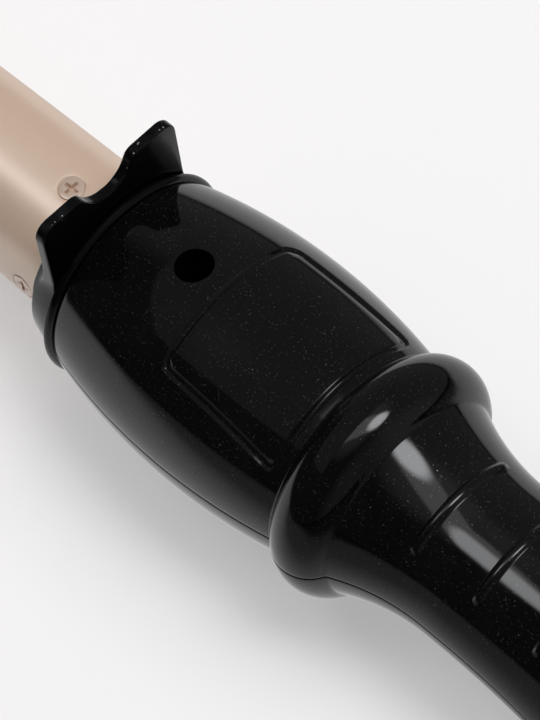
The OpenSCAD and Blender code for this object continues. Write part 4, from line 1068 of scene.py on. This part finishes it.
# %% A wire that can be used in sums
def find_socket(sockets, key):
    """A socket by its number, by its identifier, or by its name where it shows."""
    if isinstance(key, int):
        return sockets[key]
    named = [s for s in sockets if s.identifier == key]
    return (named or [s for s in sockets if s.name == key and s.enabled])[0]


def set_sockets(node, values):
    """Links wires to a node's sockets, or sets the sockets to plain values."""
    for key, value in values.items():
        socket = find_socket(node.inputs, key)
        if isinstance(value, Wire):
            value.tree.links.new(value.socket, socket)
        else:
            socket.default_value = value


class Wire:
    """An output socket in a finish, which can be added, multiplied and compared."""

    def __init__(self, tree, socket):
        self.tree = tree
        self.socket = socket

    def node(self, kind, sockets=None, out=0, **settings):
        """Adds a node: its settings first, then its sockets, by name or number."""
        made = self.tree.nodes.new("ShaderNode" + kind)
        for name, value in settings.items():
            setattr(made, name, value)
        set_sockets(made, sockets or {})
        return Wire(self.tree, find_socket(made.outputs, out))

    def maths(self, operation, *values):
        return self.node("Math", dict(enumerate(values)), operation=operation)

    def __add__(self, other):
        return self.maths("ADD", self, other)

    def __sub__(self, other):
        return self.maths("SUBTRACT", self, other)

    def __rsub__(self, other):
        return self.maths("SUBTRACT", other, self)

    def __mul__(self, other):
        return self.maths("MULTIPLY", self, other)

    def __truediv__(self, other):
        return self.maths("DIVIDE", self, other)

    def __pow__(self, other):
        return self.maths("POWER", self, other)

    def __lt__(self, other):
        return self.maths("LESS_THAN", self, other)

    def __abs__(self):
        return self.maths("ABSOLUTE", self)

    __radd__ = __add__
    __rmul__ = __mul__

# %% [markdown]
# A few more helpers cover what most finishes need: a coordinate of a point, a noise at a size in
# millimetres, a mix of two colours, and a smooth step from 0 to 1. A finish is made from a recipe:
# a function that is given the point on the piece itself, in millimetres, so that its grain stays
# put when the piece moves, and that says what goes into each of the shader's sockets.

# %% Helpers for finishes
def new_material(name):
    """An empty material, its node tree and its main shader."""
    material = bpy.data.materials.new(name)
    material.use_nodes = True
    return material, material.node_tree, material.node_tree.nodes["Principled BSDF"]


def source(tree, kind, out):
    """What a node without wires into it gives, such as a coordinate or the kind of a ray."""
    return Wire(tree, None).node(kind, out=out)


finishes = {}


def make_finish(name, recipe, *values):
    """Makes a material from a recipe for the point on the piece, and keeps it by its name."""
    material, tree, shader = new_material(name)
    place = source(tree, "TexCoord", "Object")
    spot = place.node("VectorMath", {"Vector": place, "Scale": 1 / MM}, operation="SCALE")
    set_sockets(shader, recipe(spot, *values))
    finishes[name] = material
    print(f"{name}: {len(tree.nodes)} nodes")


def coordinate(place, axis):
    return place.node("SeparateXYZ", {"Vector": place}, axis)


def cloud(spot, size, detail=2.0, rough=0.5):
    """Soft noise from 0 to 1 whose lumps are about a size across."""
    return spot.node("TexNoise", {"Vector": spot, "Scale": 1 / size, "Detail": detail, "Roughness": rough})


def blend_colours(factor, first, second):
    first, second = ((*c, 1.0) if isinstance(c, tuple) else c for c in (first, second))
    sockets = {"Factor_Float": factor, "A_Color": first, "B_Color": second}
    return factor.node("Mix", sockets, "Result_Color", data_type="RGBA")


def smooth_step(value, low, high, start=0.0, stop=1.0):
    sockets = {"Value": value, "From Min": low, "From Max": high, "To Min": start, "To Max": stop}
    return value.node("MapRange", sockets, interpolation_type="SMOOTHSTEP")


def bumped(height, depth):
    """A bump whose full height is a depth in millimetres."""
    return height.node("Bump", {"Height": height, "Distance": depth * MM})

# %% [markdown]
# ## The handle's flecked gloss
# Both shells are moulded in near black plastic with fine silver flakes in it, under a polished
# surface. The flakes are the cells of a Voronoi texture: each cell has a point of its own and a
# random value, and only the close surroundings of a point in a bright cell become silver. A real
# flake is smaller than a pixel of the picture, so most of them show as a faint glint.

# %% The handle's finish
FINE_FLECKS, COARSE_FLECKS = (0.29, 0.039, 0.6), (0.9, 0.07, 0.35)
FLECK_SILVER = (0.27, 0.28, 0.30)


def silver_flecks(spot, cell, radius, share):
    """Sparse bright points: a cell's size, a fleck's radius in millimetres and how many show."""
    cells = {"Vector": spot, "Scale": 1 / cell}
    near = spot.node("TexVoronoi", cells, "Distance") < radius / cell
    chance = spot.node("SeparateColor", {"Color": spot.node("TexVoronoi", cells, "Color")})
    return near * smooth_step(chance, 1 - share, 1.0)


def handle_gloss(spot):
    flecks = silver_flecks(spot, *FINE_FLECKS) + silver_flecks(spot, *COARSE_FLECKS)
    flecks = flecks.node("Clamp", {"Value": flecks})
    dust = smooth_step(cloud(spot, 9.0, 4.0), 0.35, 0.75)
    black = blend_colours(dust, (0.0016, 0.0015, 0.0015), (0.0028, 0.0026, 0.0025))
    return {"Base Color": blend_colours(flecks, black, FLECK_SILVER), "Metallic": flecks * 0.85,
            "Roughness": 0.07 + 0.03 * dust + 0.33 * flecks, "IOR": 1.5,
            "Normal": bumped(cloud(spot, 6.0, 1.0), 0.004)}


make_finish("handle_gloss", handle_gloss)

# %% [markdown]
# ## The guard's worn plastic
# The guard is a plainer black, without flakes. The wand has often been put down on its ears, so
# their tops are scuffed: small pale nicks near the highest part of the edge. The same nicks also
# serve as painted highlight for the glints on the ears' edges.

# %% The guard's finish
WEAR_AND_GLINT_HEIGHT = 3.5
NICKS_AND_GLINTS = (0.7, 0.13, 0.6)


def guard_plastic(spot):
    top = AXIS_Z + EAR_TOP
    high = smooth_step(coordinate(spot, "Z"), top - WEAR_AND_GLINT_HEIGHT, top)
    # pale nicks near the ear tops: partly real scuffs, partly painted highlight for the glints on the ears' edges
    nicks_and_glints = silver_flecks(spot, *NICKS_AND_GLINTS) * high
    grain = cloud(spot, 0.35, 3.0)
    smear = smooth_step(cloud(spot, 2.2, 4.0), 0.4, 0.7)
    black = blend_colours(smear * high, (0.0014, 0.0013, 0.0014), (0.0050, 0.0051, 0.0056))
    return {"Base Color": blend_colours(nicks_and_glints, black, (0.22, 0.22, 0.235)),
            "Roughness": 0.15 + 0.12 * smear * high + 0.3 * nicks_and_glints + 0.02 * grain,
            "IOR": 1.34, "Normal": bumped(cloud(spot, 0.8, 3.0) * high, 0.02)}


make_finish("guard_plastic", guard_plastic)

# %% [markdown]
# ## The anodised barrel
# Anodised aluminium is a metal under a clear dyed skin of oxide. It is blasted before it is
# anodised, so it has a fine even grain and a wide soft highlight, never a mirror's. The skin makes
# the highlight nearly white while the shade stays brown, so the finish is only partly metal, and a
# high IOR gives it the skin's own reflection.

# %% The barrel's finish and that of its screws
CHAMPAGNE, PALE_CHAMPAGNE, DEEP_CHAMPAGNE = (0.70, 0.505, 0.375), (0.72, 0.53, 0.40), (0.54, 0.37, 0.26)
SKIN_IOR = 3.0


def champagne_metal(spot):
    grain = cloud(spot, 0.16, 3.0, 0.65)
    drift = smooth_step(cloud(spot, 26.0, 2.0), 0.3, 0.7)
    tone = blend_colours(drift, CHAMPAGNE, PALE_CHAMPAGNE)
    return {"Base Color": blend_colours(grain * 0.5, tone, DEEP_CHAMPAGNE), "Metallic": 0.15,
            "Roughness": 0.30 + 0.12 * grain, "IOR": SKIN_IOR, "Normal": bumped(grain, 0.008)}


def champagne_screw(spot):
    grain = cloud(spot, 0.3, 3.0)
    return {"Base Color": blend_colours(grain, (0.60, 0.44, 0.34), (0.70, 0.53, 0.42)),
            "Metallic": 0.35, "Roughness": 0.24 + 0.14 * grain, "IOR": SKIN_IOR,
            "Normal": bumped(grain, 0.01)}


make_finish("champagne_metal", champagne_metal)
make_finish("champagne_screw", champagne_screw)

# %% [markdown]
# ## The plainer finishes
# Most of the other parts are hidden in the handle or look alike, and share one recipe: a colour
# that drifts between two tones, a roughness that drifts with it and a fine grain. What differs is
# kept in one table, with a line for each slot: the two tones, the roughness, how far it is metal,
# the size of the drift and the depth of the grain in millimetres. The handle's own screws lie at
# the bottom of deep holes. Their steel is painted near black as painted shade, for the shade that
# fills those holes.

# %% The shared recipe and its table
def plain_finish(spot, dark, light, rough, metal, lump, depth):
    drift = smooth_step(cloud(spot, lump, 4.0), 0.3, 0.7)
    grain = cloud(spot, lump / 6, 3.0)
    return {"Base Color": blend_colours(drift, dark, light), "Metallic": metal,
            "Roughness": rough + 0.12 * grain, "Normal": bumped(grain, depth)}


PLAIN = {
    "tip_plastic": ((0.010, 0.010, 0.010), (0.014, 0.014, 0.014), 0.42, 0.0, 0.6, 0.02),
    "gland_plastic": ((0.008, 0.008, 0.008), (0.012, 0.012, 0.012), 0.34, 0.0, 0.5, 0.015),
    "panel_gloss": ((0.004, 0.004, 0.004), (0.006, 0.006, 0.006), 0.08, 0.0, 8.0, 0.002),
    "bush_plastic": ((0.045, 0.042, 0.036), (0.065, 0.060, 0.052), 0.6, 0.0, 0.8, 0.03),
    "bare_aluminium": ((0.60, 0.61, 0.62), (0.72, 0.73, 0.74), 0.34, 1.0, 1.2, 0.01),
    "stone": ((0.10, 0.095, 0.088), (0.20, 0.19, 0.18), 0.85, 0.0, 0.5, 0.05),
    "copper": ((0.72, 0.38, 0.20), (0.82, 0.47, 0.27), 0.30, 1.0, 1.0, 0.008),
    "amber_film": ((0.62, 0.26, 0.03), (0.70, 0.32, 0.05), 0.22, 0.0, 3.0, 0.004),
    "fuse_metal": ((0.60, 0.59, 0.56), (0.70, 0.69, 0.66), 0.30, 1.0, 1.0, 0.006),
    "sensor_glass": ((0.020, 0.035, 0.020), (0.032, 0.050, 0.030), 0.10, 0.0, 1.5, 0.004),
    "steel": ((0.50, 0.50, 0.51), (0.62, 0.62, 0.63), 0.30, 1.0, 0.8, 0.008),
    # painted shade: the handle's screws are darkened to near black for the shade in their deep holes
    "black_steel": ((0.030, 0.030, 0.032), (0.050, 0.050, 0.052), 0.34, 1.0, 0.8, 0.008),
    "sleeving": ((0.50, 0.47, 0.39), (0.60, 0.57, 0.49), 0.7, 0.0, 0.4, 0.03),
    "sleeving_red": ((0.32, 0.045, 0.025), (0.42, 0.07, 0.04), 0.6, 0.0, 0.4, 0.03),
    "component_black": ((0.012, 0.012, 0.013), (0.020, 0.020, 0.021), 0.45, 0.0, 0.6, 0.02),
    "led_body": ((0.62, 0.60, 0.55), (0.72, 0.70, 0.66), 0.15, 0.0, 1.5, 0.003),
    "lens_red": ((0.38, 0.022, 0.016), (0.46, 0.035, 0.025), 0.10, 0.0, 2.0, 0.003),
    "component_amber": ((0.38, 0.19, 0.03), (0.48, 0.26, 0.05), 0.35, 0.0, 1.2, 0.02),
    "component_can": ((0.02, 0.03, 0.075), (0.03, 0.045, 0.10), 0.32, 0.0, 2.0, 0.01),
    "brass": ((0.66, 0.47, 0.16), (0.76, 0.56, 0.22), 0.26, 1.0, 1.2, 0.008),
    "lead_black": ((0.010, 0.010, 0.011), (0.016, 0.016, 0.017), 0.5, 0.0, 0.5, 0.02),
}
for name, values in PLAIN.items():
    make_finish(name, plain_finish, *values)

# %% [markdown]
# Three hidden materials have a pattern of their own. Mica splits into pale flakes, the circuit
# board shows copper tracks under green lacquer, and the buttons carry their printed marks.

# %% Mica and the circuit board
def mica(spot):
    flakes = spot.node("TexVoronoi", {"Vector": spot, "Scale": 0.7}, "Color")
    shade = flakes.node("SeparateColor", {"Color": flakes})
    return {"Base Color": blend_colours(shade, (0.42, 0.34, 0.20), (0.56, 0.47, 0.30)),
            "Roughness": 0.25 + 0.2 * shade, "Normal": bumped(shade, 0.02)}


def board_green(spot):
    cells = spot.node("TexVoronoi", {"Vector": spot, "Scale": 0.35, "Randomness": 0.6}, "Distance",
                      distance="CHEBYCHEV")
    tracks = smooth_step(cells.maths("FRACT", cells * 5.0), 0.42, 0.5) * (1 - smooth_step(cells, 0.9, 1.0))
    return {"Base Color": blend_colours(tracks, (0.010, 0.085, 0.030), (0.022, 0.150, 0.055)),
            "Roughness": 0.24 + 0.05 * cloud(spot, 0.4), "Normal": bumped(tracks, 0.03)}


make_finish("mica", mica)
make_finish("board_green", board_green)

# %% [markdown]
# The marks are drawn from distances. A ring with a gap and a bar make the power mark, one bar makes
# the minus, and two bars make the plus. A mark shows only on the button whose place it is drawn at.

# %% The buttons' printed marks
MARK_W, MARK_REACH, RING_R, INK_EDGE = 0.32, 1.25, 1.45, 0.03
GAP_HALF_LEN, GAP_HALF_W, STEM_HALF_LEN, STEM_SHIFT = 0.8 * RING_R, 0.55, 0.75, 0.1


def inked(distance, edge=0.0):
    """1 where a distance is under an edge, with a soft rim."""
    return smooth_step(distance, edge - INK_EDGE, edge + INK_EDGE, 1.0, 0.0)


def bar(ahead, aside, x, half_x, half_y):
    """1 inside an upright box on the handle's middle line."""
    dx = abs(ahead - (FACE_X + x)) - half_x
    dy = abs(aside) - half_y
    return inked(dx.maths("MAXIMUM", dx, dy))


def power_mark(ahead, aside):
    """A ring that is open towards the barrel, with a bar in its gap."""
    away = ahead - FACE_X - POWER_X
    ring_mark = inked(abs((away * away + aside * aside) ** 0.5 - RING_R), MARK_W / 2)
    gap = bar(ahead, aside, POWER_X - RING_R, GAP_HALF_LEN, GAP_HALF_W)
    stem = bar(ahead, aside, POWER_X - RING_R + STEM_SHIFT, STEM_HALF_LEN, MARK_W / 2)
    return ring_mark * (1 - gap) + stem


def button_finish(spot):
    ahead, aside = coordinate(spot, "X"), coordinate(spot, "Y")
    marks = power_mark(ahead, aside)
    for x in (MINUS_X, PLUS_X):
        marks = marks + bar(ahead, aside, x, MARK_W / 2, MARK_REACH)
    marks = marks + bar(ahead, aside, PLUS_X, MARK_REACH, MARK_W / 2)
    marks = marks.node("Clamp", {"Value": marks})
    grain = cloud(spot, 0.25, 3.0)
    return {"Base Color": blend_colours(marks, CHAMPAGNE, (0.02, 0.02, 0.02)),
            "Metallic": 0.85 - 0.85 * marks, "Roughness": 0.33 + 0.1 * grain,
            "Normal": bumped(grain, 0.004)}


make_finish("button_finish", button_finish)

# %% [markdown]
# ## Giving out the finishes
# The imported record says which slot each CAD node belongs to. A piece that was built here carries
# its slot too, so one loop gives every piece and every kept node the finish of its slot.

# %% Give every piece its finish
slot_of_node = {part["node"]: part["material_slot"] for part in frame["record"]["subparts"]}
# painted shade: near black steel on the handle's screws stands for the shade in their holes
slot_of_node["handle_screws"] = "black_steel"
for name, node in frame["nodes"].items():
    for holder in node.material_slots:
        holder.link = "OBJECT"
        holder.material = finishes[slot_of_node[name]]
dressed = [o for o in bpy.context.scene.objects if o.type == "MESH" and o.get("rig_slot")]
for piece in dressed:
    piece.data.materials.append(finishes[piece["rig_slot"]])
print(f"{len(dressed)} pieces dressed, {len(frame['nodes'])} nodes finished")

# %% [markdown]
# ## Floor, sky and lamps
# The wand lies on white paper in a studio. The paper takes the wand's shadow, and shows as near
# white to the camera. Polished black plastic shows little more than what it reflects, so the room
# is made for its reflections: the paper fades with distance in them, and more so towards the
# camera and beyond the handle's tail. Around it the room is dark on one side and a little lighter
# on the other. From below the paper is clear, so that the buttons under the handle can be seen.

# %% The paper
# A fade goes from one distance to another, in metres, and from one strength to another.
FADE_AWAY = (0.16, 0.60, 0.72, 0.05)
FADE_TO_CAMERA = (0.03, 0.09, 1.0, 0.3)
FADE_TO_TAIL = (0.07, 0.13, 1.0, 0.15)
TO_CAMERA = (0.707, -0.707, 0.0)
PAPER, PAPER_WHITE, PAPER_GLOW = (0.845, 0.83, 0.83, 1.0), (0.925, 0.91, 0.91, 1.0), 0.42


def mix_shaders(factor, first, second):
    return factor.node("MixShader", {0: factor, 1: first, 2: second})


def paper():
    material, tree, shader = new_material("paper")
    set_sockets(shader, {"Base Color": PAPER, "Roughness": 0.9})
    place = source(tree, "TexCoord", "Object")
    away = place.node("VectorMath", {"Vector": place}, "Value", operation="LENGTH")
    aside = place.node("VectorMath", {0: place, 1: TO_CAMERA}, "Value", operation="DOT_PRODUCT")
    fade = smooth_step(away, *FADE_AWAY) * smooth_step(aside, *FADE_TO_CAMERA)
    fade = fade * smooth_step(coordinate(place, "X"), *FADE_TO_TAIL)
    seen, through, mirrored = (source(tree, "LightPath", f"Is {ray} Ray")
                               for ray in ("Camera", "Transmission", "Glossy"))
    seen = seen + through
    white = seen.node("Emission", {"Color": PAPER_WHITE, "Strength": 1.0})
    faded = seen.node("Emission", {"Color": blend_colours(fade, (0.0, 0.0, 0.0), (1.0, 1.0, 1.0))})
    mixed = mix_shaders(seen * PAPER_GLOW, Wire(tree, shader.outputs[0]), white)
    mixed = mix_shaders(mirrored, mixed, faded)
    from_below = source(tree, "NewGeometry", "Backfacing")
    mixed = mix_shaders(from_below, mixed, seen.node("BsdfTransparent"))
    set_sockets(tree.nodes["Material Output"], {"Surface": mixed})
    return material


def stage_sheet(name, corners, material):
    """A flat sheet that belongs to the studio and not to the wand."""
    mesh = bpy.data.meshes.new(name)
    mesh.from_pydata(corners, [], [(0, 1, 2, 3)])
    mesh.materials.append(material)
    sheet = new_object(name, mesh)
    print(f"{name}: {sheet.dimensions.x:.2f} x {sheet.dimensions.y:.2f} m")
    return sheet


SQUARE = ((-1, -1), (1, -1), (1, 1), (-1, 1))
FLOOR_HALF = 1.5
stage_sheet("paper_floor", [(x * FLOOR_HALF, y * FLOOR_HALF, 0) for x, y in SQUARE], paper())

# %% [markdown]
# One long soft box hangs over the wand, and shows as a row of light patches along the ball and the
# grip. It is dim in its middle and bright at both ends, where its lamps are. The sky itself holds
# it: a direction's place on a flat ceiling tells how far it is along the box and across it.

# %% The sky with its long soft box
BOX_TURN = math.radians(33)
BOX_HALF_W, BOX_SIDE, BOX_FROM, BOX_TO, BOX_END, BOX_DIM = 0.20, 0.03, -0.74, 0.62, 0.1, 0.9
NEAR_END = (0.44, 0.02, 0.26, 0.20, 6.0)
FAR_END = (-0.54, -0.02, 0.22, 0.17, 3.4)
GLOW_FADE = (0.35, 1.35)
ROOM_BEHIND = (-0.05, 0.35, 0.03, 0.14)
ROOM_TAIL = (0.45, 0.85, 0.0, 0.10)
ROOM_ABOVE = (0.80, 0.97, 0.0, 0.22)
SKY_COLOUR, LOWEST = (0.97, 0.98, 1.0, 1.0), 0.05


def bright_end(along, across, end):
    """A soft round glow on the ceiling: its place, its half sizes and its strength."""
    mid_along, mid_across, half_along, half_across, strength = end
    out = ((along - mid_along) / half_along) ** 2 + ((across - mid_across) / half_across) ** 2
    return smooth_step(out, *GLOW_FADE, strength, 0.0)


def studio_sky():
    world = bpy.data.worlds.new("studio")
    world.use_nodes = True
    bpy.context.scene.world = world
    tree = world.node_tree
    direction = source(tree, "TexCoord", "Generated")
    x, y, z = (coordinate(direction, axis) for axis in "XYZ")
    height = z.maths("MAXIMUM", z, LOWEST)
    along = (x * math.cos(BOX_TURN) + y * math.sin(BOX_TURN)) / height
    across = (y * math.cos(BOX_TURN) - x * math.sin(BOX_TURN)) / height
    box = smooth_step(abs(across), BOX_HALF_W - BOX_SIDE, BOX_HALF_W + BOX_SIDE, BOX_DIM, 0.0)
    box = box * smooth_step(along, BOX_FROM, BOX_FROM + BOX_END)
    box = box * smooth_step(along, BOX_TO, BOX_TO + BOX_END, 1.0, 0.0)
    room = smooth_step(y, *ROOM_BEHIND) + smooth_step(x, *ROOM_TAIL) + smooth_step(z, *ROOM_ABOVE)
    strength = room + box + bright_end(along, across, NEAR_END) + bright_end(along, across, FAR_END)
    seen = source(tree, "LightPath", "Is Camera Ray")
    set_sockets(tree.nodes["Background"], {"Color": SKY_COLOUR, "Strength": seen + (1 - seen) * strength})
    print(f"sky: {len(tree.nodes)} nodes")


studio_sky()

# %% [markdown]
# The light that fills the paper and the barrel comes from two wide lamps. They aren't seen in the
# gloss, which shows only the long box, and the stronger one stands behind the wand, so that the
# wand's soft shadow falls towards the camera.

# %% The wide lamps
LAMP_AWAY, LAMP_AIM_X = 0.9, 60


def wide_lamp(name, direction, size, power):
    """A square lamp that faces the handle from a direction."""
    light = bpy.data.lights.new(name, "AREA")
    light.size = size
    light.energy = power
    lamp = new_object(name, light)
    lamp.location = to_metres(LAMP_AIM_X, 0, 0) + Vector(direction).normalized() * LAMP_AWAY
    lamp.rotation_euler = Vector(direction).to_track_quat("Z", "Y").to_euler()
    lamp.visible_glossy = False
    lamp.visible_camera = False
    print(f"{name}: {size} m wide, {power} W")


wide_lamp("key_lamp", (0.05, 0.32, 0.94), 0.65, 5.6)
wide_lamp("fill_lamp", (-0.3, -0.5, 0.8), 1.0, 1.0)

# %% [markdown]
# In a studio, a card is held over a glossy label to keep a lamp's reflection off it. This card
# does the same for the rating panel: it exists for reflections alone, and shows in the panel as
# an even dark grey.

# %% The card over the rating panel
CARD_X, CARD_HALF_LEN, CARD_HALF_W, CARD_Z, CARD_GREY = 9.5, 35.5, 60, 62, 0.13
card_grey, _, card_shader = new_material("card_grey")
set_sockets(card_shader, {"Base Color": (0.0, 0.0, 0.0, 1.0), "Roughness": 1.0,
                          "Emission Color": (1.0, 1.0, 1.0, 1.0), "Emission Strength": CARD_GREY})
card_corners = [to_metres(CARD_X + x * CARD_HALF_LEN, y * CARD_HALF_W, CARD_Z) for x, y in SQUARE]
card = stage_sheet("panel_card", card_corners, card_grey)
for ray in ("camera", "diffuse", "transmission", "volume_scatter", "shadow"):
    setattr(card, "visible_" + ray, False)

# %% Show colours as they are written
bpy.context.scene.view_settings.view_transform = "Standard"
